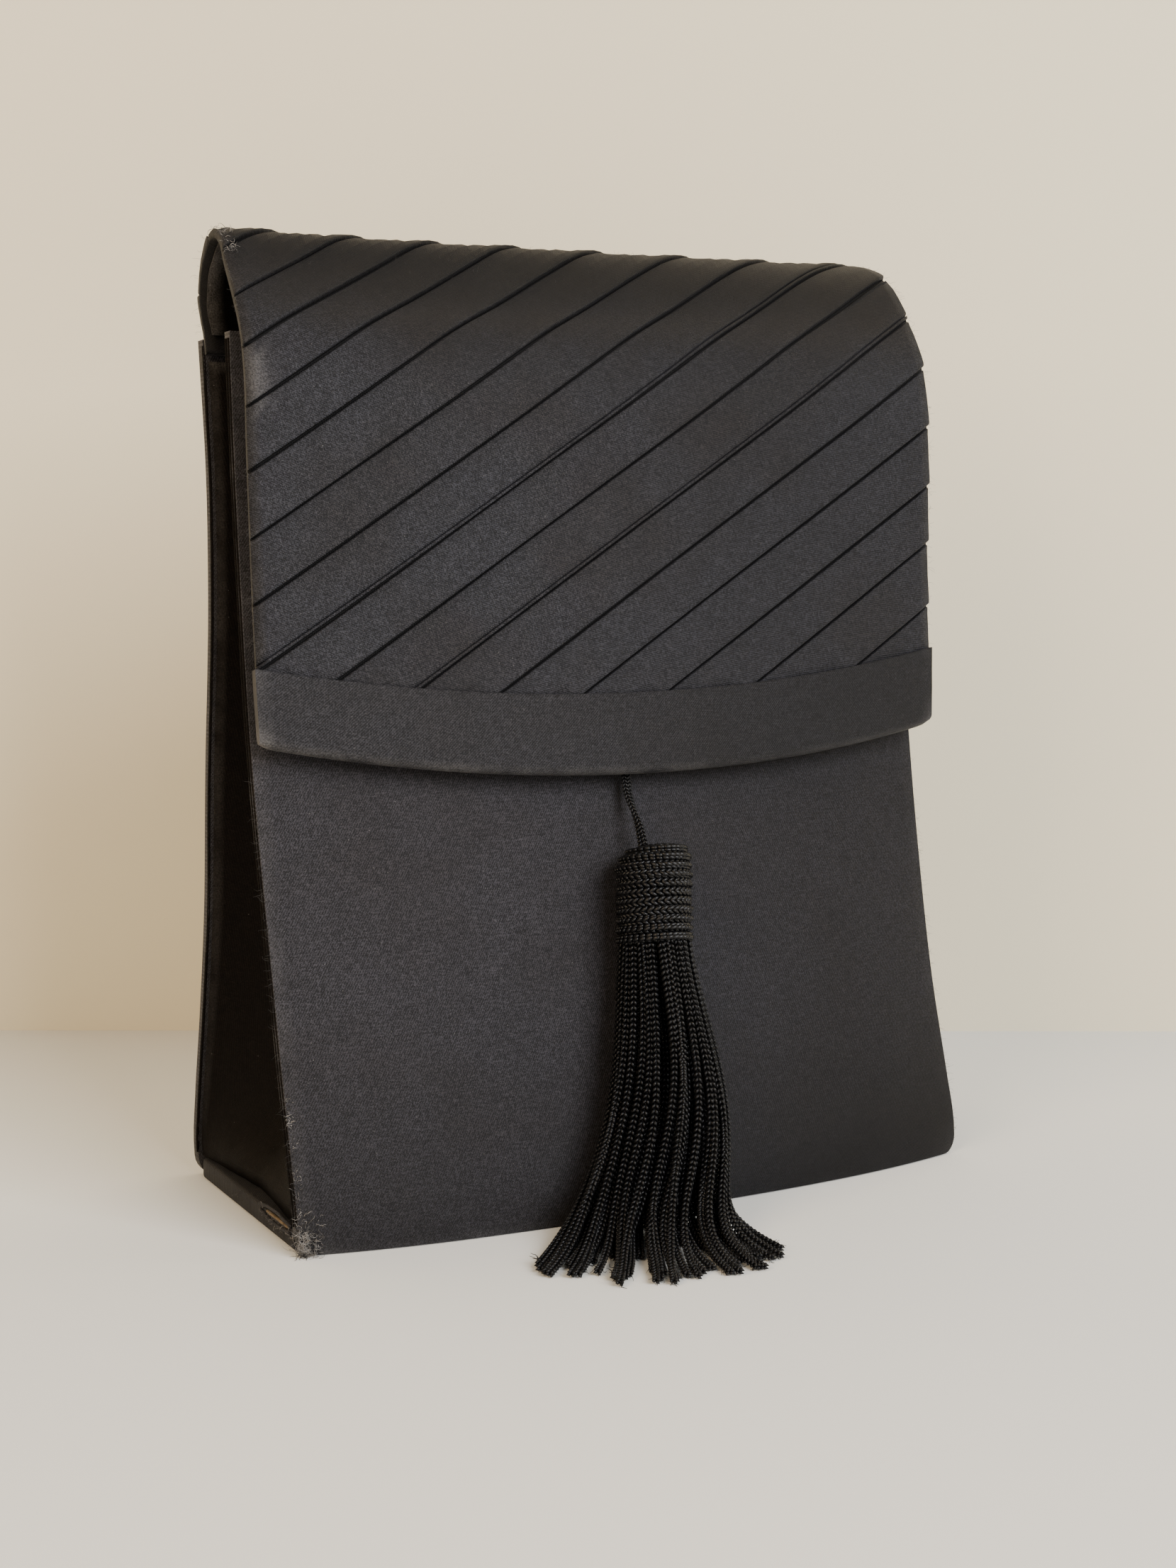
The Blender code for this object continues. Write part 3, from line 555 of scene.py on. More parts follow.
def slab(name, columns, rows, place, cloth_place, wear=None, shade=None):
    """A closed sheet with thickness. place(u, v, side) gives its points, with u from -1 to 1 across, v from 0 to 1
    along, and side 0 or 1 for its two faces. cloth_place gives the weave's coordinates from the same three."""
    bm = bmesh.new()
    bmesh.ops.create_grid(bm, x_segments=columns, y_segments=rows, size=1.0)
    side = bm.verts.layers.int.new("side")
    grown = bmesh.ops.extrude_face_region(bm, geom=bm.faces[:], use_keep_orig=True)
    for item in grown["geom"]:
        if isinstance(item, bmesh.types.BMVert):
            item[side] = 1
    weave = bm.loops.layers.uv.new("cloth")
    for face in bm.faces:
        for loop in face.loops:
            loop[weave].uv = cloth_place(loop.vert.co.x, (loop.vert.co.y + 1) / 2, loop.vert[side])
    worn = bm.verts.layers.float.new("wear")
    # Painted shade for each point, which the cloth's finish mixes towards near black.
    shaded = bm.verts.layers.float.new("painted_shade")
    for vert in bm.verts:
        u, v, face_side = vert.co.x, (vert.co.y + 1) / 2, vert[side]
        vert[worn] = wear(u, v, face_side) if wear else 0.0
        vert[shaded] = shade(u, v) if shade else 0.0
        vert.co = place(u, v, face_side)
    bmesh.ops.recalc_face_normals(bm, faces=bm.faces[:])
    return mesh_from(bm, name)


twill, twill_in, twill_out = new_effect(
    "twill_weave",
    (("Cloth", "NodeSocketVector", None), ("Warp", "NodeSocketFloat", TWILL_WARP),
     ("Weft", "NodeSocketFloat", TWILL_WEFT), ("Turn", "NodeSocketFloat", 0.0)),
    (("Height", "NodeSocketFloat"), ("Streak", "NodeSocketFloat")),
)
twill_turn = node(twill, "ShaderNodeVectorRotate", (("Vector", twill_in.outputs["Cloth"]),
                                                    ("Angle", twill_in.outputs["Turn"])), rotation_type="Z_AXIS")
twill_wobble = node(twill, "ShaderNodeTexNoise", (("Vector", twill_turn.outputs[0]), ("Scale", 90.0),
                                                  ("Detail", 2.0)))
twill_split = node(twill, "ShaderNodeSeparateXYZ", (("Vector", twill_turn.outputs[0]),))
twill_bend = sums(twill, "MULTIPLY_ADD", twill_wobble.outputs["Fac"], 0.00030, -0.00015)
twill_u = sums(twill, "MULTIPLY", sums(twill, "ADD", twill_split.outputs["X"], twill_bend), 1000.0)
twill_v = sums(twill, "MULTIPLY", sums(twill, "ADD", twill_split.outputs["Y"], twill_bend), 1000.0)
warp_count = sums(twill, "DIVIDE", twill_u, twill_in.outputs["Warp"])
weft_count = sums(twill, "DIVIDE", twill_v, twill_in.outputs["Weft"])
warp_end = sums(twill, "FLOOR", warp_count)
warp_across = sums(twill, "FRACT", warp_count)
weft_across = sums(twill, "FRACT", weft_count)
lift = sums(twill, "FRACT", sums(twill, "DIVIDE", sums(twill, "SUBTRACT", weft_count, warp_end), 3.0))
over = sums(twill, "MAXIMUM", sums(twill, "SINE", sums(twill, "MULTIPLY", lift, 1.5 * math.pi)), 0.0)
warp_round = sums(twill, "SINE", sums(twill, "MULTIPLY", warp_across, math.pi))
warp_height = sums(twill, "MULTIPLY", sums(twill, "SQRT", over), warp_round)
weft_height = sums(twill, "MULTIPLY", sums(twill, "SINE", sums(twill, "MULTIPLY", weft_across, math.pi)), 0.45)
twill.links.new(sums(twill, "MAXIMUM", warp_height, weft_height), twill_out.inputs["Height"])
streak_map = node(twill, "ShaderNodeMapping", (("Vector", twill_turn.outputs[0]), ("Scale", (330.0, 2300.0, 1.0))))
streak_noise = node(twill, "ShaderNodeTexNoise", (("Vector", streak_map.outputs[0]), ("Scale", 1.0),
                                                  ("Detail", 2.0)))
warp_map = node(twill, "ShaderNodeMapping", (("Vector", twill_turn.outputs[0]), ("Scale", (2500.0, 380.0, 1.0))))
warp_noise = node(twill, "ShaderNodeTexNoise", (("Vector", warp_map.outputs[0]), ("Scale", 1.0), ("Detail", 2.0)))
twill.links.new(sums(twill, "MULTIPLY_ADD", sums(twill, "ADD", streak_noise.outputs["Fac"], warp_noise.outputs["Fac"]),
                     0.5, 0.0), twill_out.inputs["Streak"])

# Cloth colour: random tone, wear, specks and lint, and painted shade that the Shade input mixes in towards near black.
aged_and_shaded, aged_and_shaded_in, aged_and_shaded_out = new_effect(
    "aged_and_shaded_cloth",
    (("Place", "NodeSocketVector", None), ("Weave", "NodeSocketFloat", 0.5), ("Streak", "NodeSocketFloat", 0.5),
     ("Wear", "NodeSocketFloat", 0.0), ("Shade", "NodeSocketFloat", 0.0), ("Dark", "NodeSocketColor", (0, 0, 0, 1)),
     ("Light", "NodeSocketColor", (0, 0, 0, 1)), ("Tint", "NodeSocketColor", (0, 0, 0, 1))),
    (("Color", "NodeSocketColor"), ("Roughness", "NodeSocketFloat"), ("Height", "NodeSocketFloat")),
)


def grouped_mix(tree, share, a, b):
    made = tree.nodes.new("ShaderNodeMix")
    made.data_type = "RGBA"
    for key, value in ((0, share), (6, a), (7, b)):
        if isinstance(value, bpy.types.NodeSocket):
            tree.links.new(value, made.inputs[key])
        elif key == 0:
            made.inputs[key].default_value = value
        else:
            made.inputs[key].default_value = (*value, 1.0)
    return made.outputs[2]


def clamped(socket):
    socket.node.use_clamp = True
    return socket


tint_noise = node(aged_and_shaded, "ShaderNodeTexNoise", (("Vector", aged_and_shaded_in.outputs["Place"]), ("Scale", 32.0),
                                               ("Detail", 3.0), ("Roughness", 0.55)))
cloud_noise = node(aged_and_shaded, "ShaderNodeTexNoise", (("Vector", aged_and_shaded_in.outputs["Place"]), ("Scale", 110.0),
                                                ("Detail", 4.0), ("Roughness", 0.6)))
speck_noise = node(aged_and_shaded, "ShaderNodeTexNoise", (("Vector", aged_and_shaded_in.outputs["Place"]), ("Scale", 2700.0),
                                                ("Detail", 1.0)))
yarn_light = sums(aged_and_shaded, "MULTIPLY_ADD", aged_and_shaded_in.outputs["Weave"], 1.15, -0.24)
yarn_light = sums(aged_and_shaded, "ADD", yarn_light, sums(aged_and_shaded, "MULTIPLY_ADD", aged_and_shaded_in.outputs["Streak"], 1.6, -0.80))
yarn_light = sums(aged_and_shaded, "ADD", yarn_light, sums(aged_and_shaded, "MULTIPLY_ADD", cloud_noise.outputs["Fac"], 0.36, -0.18))
yarn_light = clamped(sums(aged_and_shaded, "ADD", yarn_light, sums(aged_and_shaded, "MULTIPLY_ADD", speck_noise.outputs["Fac"], 2.0, -1.00)))
aged_split = node(aged_and_shaded, "ShaderNodeSeparateXYZ", (("Vector", aged_and_shaded_in.outputs["Place"]),))
# Above about 0.19 m the light colour turns more and more to the tint.
tint_with_height = clamped(sums(aged_and_shaded, "MULTIPLY_ADD", aged_split.outputs["Z"], 22.0, -4.2))
tint_share = sums(aged_and_shaded, "MULTIPLY_ADD", tint_noise.outputs["Fac"], 2.4, -1.1)
base_light = grouped_mix(aged_and_shaded, clamped(sums(aged_and_shaded, "ADD", tint_share, tint_with_height)),
                         aged_and_shaded_in.outputs["Light"], aged_and_shaded_in.outputs["Tint"])
cloth_colour = grouped_mix(aged_and_shaded, yarn_light, aged_and_shaded_in.outputs["Dark"], base_light)
wear_break = sums(aged_and_shaded, "MULTIPLY", aged_and_shaded_in.outputs["Wear"],
                  clamped(sums(aged_and_shaded, "MULTIPLY_ADD", cloud_noise.outputs["Fac"], 3.0, -0.8)))
wear_yarn = clamped(sums(aged_and_shaded, "MULTIPLY", wear_break, sums(aged_and_shaded, "MULTIPLY_ADD", speck_noise.outputs["Fac"], 1.6, -0.1)))
cloth_colour = grouped_mix(aged_and_shaded, wear_yarn, cloth_colour, WORN_COLOUR)
lint_cells = node(aged_and_shaded, "ShaderNodeTexVoronoi", (("Vector", aged_and_shaded_in.outputs["Place"]), ("Scale", 620.0)))
lint_pick = node(aged_and_shaded, "ShaderNodeSeparateColor", (("Color", lint_cells.outputs["Color"]),))
lint_mask = sums(aged_and_shaded, "MULTIPLY", sums(aged_and_shaded, "LESS_THAN", lint_cells.outputs["Distance"], 0.075),
                 sums(aged_and_shaded, "GREATER_THAN", lint_pick.outputs["Red"], 0.84))
cloth_colour = grouped_mix(aged_and_shaded, sums(aged_and_shaded, "MULTIPLY", lint_mask, 0.16), cloth_colour, LINT_COLOUR)
# Painted shade: the Shade input darkens the colour towards near black.
cloth_colour = grouped_mix(aged_and_shaded, aged_and_shaded_in.outputs["Shade"], cloth_colour, (0.0012, 0.0010, 0.0010))
aged_and_shaded.links.new(cloth_colour, aged_and_shaded_out.inputs["Color"])
aged_and_shaded.links.new(sums(aged_and_shaded, "MULTIPLY_ADD", cloud_noise.outputs["Fac"], 0.16, 0.52), aged_and_shaded_out.inputs["Roughness"])
aged_and_shaded.links.new(sums(aged_and_shaded, "MULTIPLY_ADD", speck_noise.outputs["Fac"], 0.35, aged_and_shaded_in.outputs["Weave"]),
               aged_and_shaded_out.inputs["Height"])


def cloth_finish(name, dark, light, tint, turn=0.0, warp=TWILL_WARP, weft=TWILL_WEFT, relief=0.00012, sheen=0.02,
                 shine=0.16):
    """Twill cloth: the weave follows the piece's own cloth map, and wear and painted shade follow its vertex values.
    """
    material, tree, shader = new_finish(name)
    cloth_map = node(tree, "ShaderNodeUVMap", (), uv_map="cloth")
    place = node(tree, "ShaderNodeTexCoord")
    wear = node(tree, "ShaderNodeAttribute", (), attribute_name="wear")
    shade = node(tree, "ShaderNodeAttribute", (), attribute_name="painted_shade")
    weave = node(tree, "ShaderNodeGroup", (), node_tree=twill)
    tree.links.new(cloth_map.outputs["UV"], weave.inputs["Cloth"])
    weave.inputs["Warp"].default_value = warp
    weave.inputs["Weft"].default_value = weft
    weave.inputs["Turn"].default_value = math.radians(turn)
    age_and_shade = node(tree, "ShaderNodeGroup", (), node_tree=aged_and_shaded)
    tree.links.new(place.outputs["Object"], age_and_shade.inputs["Place"])
    tree.links.new(weave.outputs["Height"], age_and_shade.inputs["Weave"])
    tree.links.new(weave.outputs["Streak"], age_and_shade.inputs["Streak"])
    tree.links.new(wear.outputs["Fac"], age_and_shade.inputs["Wear"])
    tree.links.new(shade.outputs["Fac"], age_and_shade.inputs["Shade"])
    for key, value in (("Dark", dark), ("Light", light), ("Tint", tint)):
        age_and_shade.inputs[key].default_value = (*value, 1.0)
    bump = node(tree, "ShaderNodeBump", (("Distance", relief), ("Strength", 0.7), ("Height", age_and_shade.outputs["Height"])))
    tree.links.new(age_and_shade.outputs["Color"], shader.inputs["Base Color"])
    tree.links.new(age_and_shade.outputs["Roughness"], shader.inputs["Roughness"])
    tree.links.new(bump.outputs["Normal"], shader.inputs["Normal"])
    shader.inputs["Specular IOR Level"].default_value = shine
    shader.inputs["Sheen Weight"].default_value = sheen
    shader.inputs["Sheen Roughness"].default_value = 0.45
    shader.inputs["Sheen Tint"].default_value = (0.75, 0.74, 0.80, 1.0)
    return material


def soften(piece, width, segments=3):
    bevel = piece.modifiers.new("turned_edges", "BEVEL")
    bevel.width = width
    bevel.segments = segments
    bevel.limit_method = "ANGLE"
    bevel.angle_limit = math.radians(50)


def panel_heights(count):
    """Heights of a panel's rows as shares, closer together round the foot's corners."""
    corner = PANEL_CORNER / BODY_HEIGHT
    rounding = [corner * (1 - math.cos(math.radians(angle))) for angle in range(0, 91, 15)]
    return rounding + [corner + (1 - corner) * step / count for step in range(1, count + 1)]


def panel_half(z):
    """Half width of a panel, less where its lower corners are rounded."""
    if z >= PANEL_CORNER:
        return HALF_WIDTH
    return HALF_WIDTH - PANEL_CORNER + math.sqrt(PANEL_CORNER**2 - (PANEL_CORNER - z) ** 2)


def panel_mesh(name, face, inward):
    """face(x, z) is the outer side, and inward is 1 where the inside lies towards +Y and -1 where it doesn't."""
    heights = panel_heights(56)

    def spot(u, v):
        z = heights[round(v * (len(heights) - 1))] * BODY_HEIGHT
        return u * panel_half(z), z

    def place(u, v, side):
        x, z = spot(u, v)
        inset = max(1 - (1 - abs(u)) / 0.06, 0.0, 1 - z / 0.006, 1 - (BODY_HEIGHT - z) / 0.006)
        uneven = ripple(x, z, 0.00028, inward) * (1 - min(inset, 1.0))
        y = face(x, z) + inward * (side * PANEL_THICKNESS) + (0 if side else uneven)
        return Vector((x, y, max(z, PANEL_FOOT)))

    def wear(u, v, side):
        x, z = spot(u, v)
        edge = max(0.0, 1 - (1 - abs(u)) * HALF_WIDTH / 0.0020)
        foot = max(0.0, 1 - z / 0.0025)
        corner = math.hypot((1 - abs(u)) * HALF_WIDTH, z)
        return min(1.0, 0.16 * edge + 0.22 * foot + 0.8 * max(0.0, 1 - corner / 0.009))

    # Painted shade: darker towards the right side and towards the foot.
    def shade(u, v):
        return min(0.85, 0.50 * ease((u + 0.5) / 1.3) + 0.50 * ease(1 - v / 0.34))

    return slab(name, 44, len(heights) - 1, place, lambda u, v, side: spot(u, v), wear, shade)


body_finish = cloth_finish("body_cloth_finish", BODY_DARK, BODY_LIGHT, BODY_TINT)
front_cover = add_piece("front_panel_cover", panel_mesh("front_panel_cover", front_face, 1), body_finish)
back_cover = add_piece("back_panel_cover", panel_mesh("back_panel_cover", lambda x, z: back_face(z), -1), body_finish)
for piece, part in ((front_cover, "front_panel"), (back_cover, "back_panel")):
    soften(piece, PANEL_ROUNDING)
    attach(piece, "root")
    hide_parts(part)

# Base
# A cardboard bottom under the same twill, glued up round its ends. The cloth is worn through at the left end,
# where the brown edge of the card shows.
BASE_THICKNESS = 0.005
BASE_INSET = 0.0004
FRONT_GAP = 0.0003
BASE_END = HALF_WIDTH - BASE_INSET


def base_mesh(name):
    feet = [step * BASE_THICKNESS / 4 for step in range(5)]
    back_edge = min(back_face(z) for z in feet) - PANEL_THICKNESS - FRONT_GAP

    def spot(u, v):
        x = u * BASE_END
        front_edge = max(front_face(x, z) for z in feet) + PANEL_THICKNESS + FRONT_GAP
        return x, front_edge + v * (back_edge - front_edge)

    def place(u, v, side):
        x, y = spot(u, v)
        return Vector((x, y, side * BASE_THICKNESS))

    def wear(u, v, side):
        return 0.0

    # Painted shade: the whole base cloth is darkened, by a share of 0.6.
    return slab(name, 48, 20, place, lambda u, v, side: spot(u, v), wear, lambda u, v: 0.6)


base_cover = add_piece("base_cover", base_mesh("base_cover"), body_finish)
soften(base_cover, 0.0009)
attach(base_cover, "root")
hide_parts("base_board")

# Gussets
# The two side cloths, of thinner twill, coloured much darker and browner than the body's as painted shade.
# Each is hemmed at its top, sewn to both panels' edges and folds inwards down its middle, deeper towards the top.
GUSSET_THICKNESS = 0.0012
GUSSET_TOP_GAP = 0.005
GUSSET_PUSH = 0.003
GUSSET_SIDE = 0.0009
GUSSET_FOLD_POWER = 1.6
GUSSET_STEEPEST = 4.0
GUSSET_THICKEST = 2.2
# Painted shade: the side cloths' colours are a much darker, browner copy of the body's twill.
SHADED_SIDE_DARK = (0.0014, 0.0010, 0.0008)
SHADED_SIDE_LIGHT = (0.0095, 0.0068, 0.0056)
SHADED_SIDE_TINT = (0.0085, 0.0057, 0.0042)
SEAM_WIDTH = 0.0009

side_finish = cloth_finish("side_cloth_shaded_finish", SHADED_SIDE_DARK, SHADED_SIDE_LIGHT, SHADED_SIDE_TINT, turn=-20, sheen=0.0,
                           shine=0.06)


def gusset_ends(sign, z):
    x = sign * (HALF_WIDTH - GUSSET_SIDE)
    return front_face(x, z) + PANEL_THICKNESS + FRONT_GAP, back_face(z) - PANEL_THICKNESS - FRONT_GAP


def gusset_mesh(name, sign):
    foot = BASE_THICKNESS + FRONT_GAP
    top = BODY_HEIGHT - GUSSET_TOP_GAP
    end = HALF_WIDTH - GUSSET_SIDE
    foot_front, foot_back = gusset_ends(sign, foot)
    cloth = 2 * math.hypot((foot_back - foot_front) / 2, GUSSET_PUSH)

    def place(u, v, side):
        z = foot + v * (top - foot)
        front, back = gusset_ends(sign, z)
        half = (back - front) / 2
        depth = math.sqrt(max(cloth**2 / 4 - half**2, GUSSET_PUSH**2))
        fold = 1 - (abs(u) ** GUSSET_FOLD_POWER + abs(u)) / 2
        lean = math.sqrt(1 + min(depth / half, GUSSET_STEEPEST) ** 2)
        uneven = ripple(u * 0.03, z, 0.0007, 3.0 * sign) * (1 - abs(u) ** 4)
        x = sign * (end - depth * fold + uneven)
        y = (front + back) / 2 + u * half
        if side:
            x -= sign * GUSSET_THICKNESS * min(lean, GUSSET_THICKEST)
        return Vector((x, y, z))

    def wear(u, v, side):
        return 0.35 * max(0.0, 1 - (1 - v) / 0.012) + 0.2 * max(0.0, 1 - (1 - abs(u)) / 0.05)

    return slab(name, 30, 64, place, lambda u, v, side: (u * cloth / 2, v * (top - foot)), wear), cloth, top - foot


for name, sign in (("gusset_left", -1), ("gusset_right", 1)):
    mesh, cloth_width, cloth_length = gusset_mesh(name + "_cloth", sign)
    gusset = add_piece(name + "_cloth", mesh, side_finish)
    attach(gusset, "root")
    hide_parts(name)

# Side seams
# Where gusset and panel meet, both cloths are turned out and oversewn into a thin double ridge, all the way down.
def tube_piece(name, lines, width, material):
    """Round ridges of cloth along the given lines, as one mesh with closed ends."""
    curve = bpy.data.curves.new(name, "CURVE")
    curve.dimensions = "3D"
    curve.bevel_depth = width / 2
    curve.bevel_resolution = 2
    curve.use_fill_caps = True
    for line in lines:
        spline = curve.splines.new("POLY")
        spline.points.add(len(line) - 1)
        for item, point in zip(spline.points, line):
            item.co = (*point, 1.0)
    guide = bpy.data.objects.new(name, curve)
    bpy.context.scene.collection.objects.link(guide)
    bpy.context.view_layer.update()
    mesh = bpy.data.meshes.new_from_object(guide.evaluated_get(bpy.context.evaluated_depsgraph_get()))
    bpy.data.objects.remove(guide)
    mesh.materials.clear()
    bm = bmesh.new()
    bm.from_mesh(mesh)
    bmesh.ops.remove_doubles(bm, verts=bm.verts[:], dist=1e-6)
    bmesh.ops.recalc_face_normals(bm, faces=bm.faces[:])
    weave = bm.loops.layers.uv.new("cloth")
    for face in bm.faces:
        for loop in face.loops:
            loop[weave].uv = (loop.vert.co.x + loop.vert.co.y, loop.vert.co.z)
    bpy.data.meshes.remove(mesh)
    return add_piece(name, mesh_from(bm, name), material)


seam_lines = []
for sign in (-1, 1):
    for behind in (0.0006, 0.0022):
        line = []
        for step in range(60):
            z = BASE_THICKNESS + 0.001 + (BODY_HEIGHT - 0.0075) * step / 59
            x = sign * (HALF_WIDTH - 0.0001)
            line.append(Vector((x + sign * ripple(z, behind, 0.0003, sign), front_face(x, z) + behind + 0.0004, z)))
        seam_lines.append(line)
    line = []
    for step in range(60):
        z = BASE_THICKNESS + 0.001 + (BODY_HEIGHT - 0.0075) * step / 59
        x = sign * (HALF_WIDTH - 0.0001)
        line.append(Vector((x + sign * ripple(z, 5.0, 0.0003, sign), back_face(z) - PANEL_THICKNESS + 0.0004, z)))
    seam_lines.append(line)
# The seams take the side cloths' finish and its painted shade.
side_seams = tube_piece("side_seams", seam_lines, SEAM_WIDTH, side_finish)
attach(side_seams, "root")

# Flap
# One piece of twill laid in slanting knife tucks, each folded edge lying over the one below it. It is sewn inside
# the back panel, rolls over the top and hangs down the front.
FLAP_TUCK = 0.0036
FLAP_FOLD_HEIGHT = 0.0232
FLAP_FOLD_DEPTH = 0.030
FLAP_DROP = 0.0906
FLAP_SAG = 0.0085
FLAP_STANDOFF = 0.0087
FLAP_THICKNESS = 0.0018
FLAP_BLEND_POWER = 1.5
PLEAT_RISE = 0.00095
TUCK_GAPE = 0.00042
PLEAT_SLOPE = 0.866
PLEAT_FANNING = 0.30
PLEAT_BEND = 1.15
# The fold above the hems. Columns: left height, left depth, right height, right depth, as shares
FOLD_PROFILE = (
    (0.190, 0.060, 0.210, 0.050), (0.440, 0.027, 0.500, 0.007), (0.710, 0.090, 0.815, 0.047),
    (0.900, 0.217, 1.046, 0.183), (1.000, 0.417, 1.163, 0.383), (0.930, 0.560, 1.080, 0.640),
    (0.670, 0.693, 0.880, 0.887), (0.335, 0.873, 0.565, 1.077),
)
# The front. Columns: drop, left stand-off, right stand-off, as shares
FRONT_PROFILE = (
    (0.000, 0.880, 1.510), (0.100, 1.060, 1.680), (0.264, 1.010, 1.660), (0.527, 0.900, 1.420),
    (0.770, 0.800, 1.180), (1.000, 0.800, 0.880),
)
# Folded edges' places up the left edge in mm, and whether the tuck shows a narrow second fold
PLEATS = (
    (-110.0, False), (-95.5, False), (-81.5, False), (-66.6, False), (-53.0, False), (-39.1, False), (-25.0, False),
    (-11.4, True), (3.3, False), (16.9, True), (31.3, False), (45.5, False), (60.2, False), (74.1, False),
    (87.2, False), (99.6, False), (112.8, False), (126.0, False), (140.7, False), (155.0, False), (169.5, False),
)
# Rows across a tuck. Columns: mm up from the folded edge, height as a share of the rise, painted shade, darkest in the
# crack
TUCK_ROWS = (
    (-2.4, 0.42, 0.08), (-1.3, 0.46, 0.16), (-0.86, 0.46, 0.28), (-0.66, 0.32, 0.45), (-0.56, 0.05, 0.8),
    (-0.51, -0.85, 1.0), (-0.06, -0.85, 1.0), (-0.03, 0.10, 1.0), (-0.05, 0.55, 0.4), (0.05, 0.92, 0.0),
    (0.26, 1.08, 0.0), (0.8, 1.10, 0.0), (2.4, 0.98, 0.0),
)
# The same for a tuck with a narrow second fold, whose second crack has painted shade too.
DOUBLE_ROWS = (
    (-2.4, 0.42, 0.08), (-1.3, 0.46, 0.16), (-0.80, 0.46, 0.28), (-0.60, 0.32, 0.45), (-0.50, 0.05, 0.8),
    (-0.45, -0.85, 1.0), (-0.06, -0.85, 1.0), (-0.03, 0.10, 1.0), (-0.04, 0.50, 0.4), (0.08, 0.82, 0.0),
    (0.40, 0.90, 0.0), (0.66, 0.78, 0.0), (0.78, 0.55, 0.25), (0.84, 0.20, 0.6), (0.98, 0.20, 0.6),
    (1.02, 0.62, 0.2), (1.12, 0.94, 0.0), (1.5, 1.08, 0.0), (2.8, 1.02, 0.0),
)
BAND_HEIGHT = 0.0195
BAND_TAPER = 0.0024
BAND_THICKNESS = 0.001
PLEAT_DARK = (0.0048, 0.0048, 0.0062)
PLEAT_LIGHT = (0.043, 0.0435, 0.0530)
PLEAT_TINT = (0.030, 0.0245, 0.0215)


def flap_rows(x):
    """(y, z) points of the flap's outer face at x, from its sewn end to its lower edge."""
    share = max((x / HALF_WIDTH + 1) / 2, 0.0) ** FLAP_BLEND_POWER
    hem = back_face(BODY_HEIGHT)
    rows = []
    for tuck in (1.0, 0.1):
        z = BODY_HEIGHT - FLAP_TUCK * tuck
        rows.append((back_face(z) - PANEL_THICKNESS - 2 * FRONT_GAP, z))
    for left_height, left_depth, right_height, right_depth in FOLD_PROFILE:
        depth = FLAP_FOLD_DEPTH * (left_depth * (1 - share) + right_depth * share)
        height = FLAP_FOLD_HEIGHT * (left_height * (1 - share) + right_height * share)
        rows.append((hem - depth, BODY_HEIGHT + height))
    drop = FLAP_DROP + FLAP_SAG * (1 - (x / HALF_WIDTH) ** 2)
    for fall, left_off, right_off in FRONT_PROFILE:
        z = BODY_HEIGHT - fall * drop
        rows.append((front_face(x, z) - FLAP_STANDOFF * (left_off * (1 - share) + right_off * share), z))
    return np.array(rows)


flap_sections = {}


def flap_section(x):
    """(distance from the lower edge, y, z) along the flap's outer face at x, with the lower edge first."""
    key = round(x, 5)
    if key not in flap_sections:
        rows = flap_rows(key)
        chord = np.concatenate([[0.0], np.cumsum(np.hypot(*np.diff(rows, axis=0).T))])
        fine = np.linspace(0.0, chord[-1], 240)
        y = smooth(fine, chord, rows[:, 0])
        z = smooth(fine, chord, rows[:, 1])
        run = np.concatenate([[0.0], np.cumsum(np.hypot(np.diff(y), np.diff(z)))])
        flap_sections[key] = (run[-1] - run[::-1], y[::-1], z[::-1])
    return flap_sections[key]


def flap_length(x):
    return float(flap_section(x)[0][-1])


def flap_point(x, up):
    """Point of the flap's outer face at x, up from its lower edge along the cloth."""
    run, y, z = flap_section(x)
    return Vector((x, float(np.interp(up, run, y)), float(np.interp(up, run, z))))


def flap_offset(x, up, out):
    """The same point moved out of the face, or into the cloth where out is negative."""
    step = 0.001
    along = flap_point(x, up + step) - flap_point(x, max(up - step, 0.0))
    sideways = flap_point(x + step, up) - flap_point(x - step, up)
    return flap_point(x, up) + sideways.cross(along).normalized() * out


def pleat_relief():
    """(place up the left edge, height, painted shade, gape, tuck) for each row of the tucked cloth, from the lowest
    up.

    gape is 1 for the rows of the lower lip, which stands off from the folded edge by an uneven amount."""
    rows = []
    for number, (edge, double) in enumerate(PLEATS[:-1]):
        for up, height, shade in (DOUBLE_ROWS if double else TUCK_ROWS):
            rows.append(((edge + up) / 1000, height * PLEAT_RISE, shade, float(-0.9 < up < -0.4), number))
        upper = PLEATS[number + 1][0]
        for share in (0.45, 0.65):
            rows.append(((edge + (upper - edge) * share) / 1000, (0.86 - 0.6 * (share - 0.2)) * PLEAT_RISE, 0.0, 0.0,
                         number))
    return rows


def band_loss(x):
    """How much narrower the binding is at x than at its right end."""
    return BAND_TAPER * (0.5 - x / HALF_WIDTH / 2) ** 2


def cut_level(bm, height, clear_outer=False, upwards=True):
    """Cuts flat cloth straight across, and can clear what lies beyond the cut."""
    bmesh.ops.bisect_plane(bm, geom=bm.verts[:] + bm.edges[:] + bm.faces[:], dist=1e-7, plane_co=(0, height, 0),
                           plane_no=(0, 1 if upwards else -1, 0), clear_outer=clear_outer)


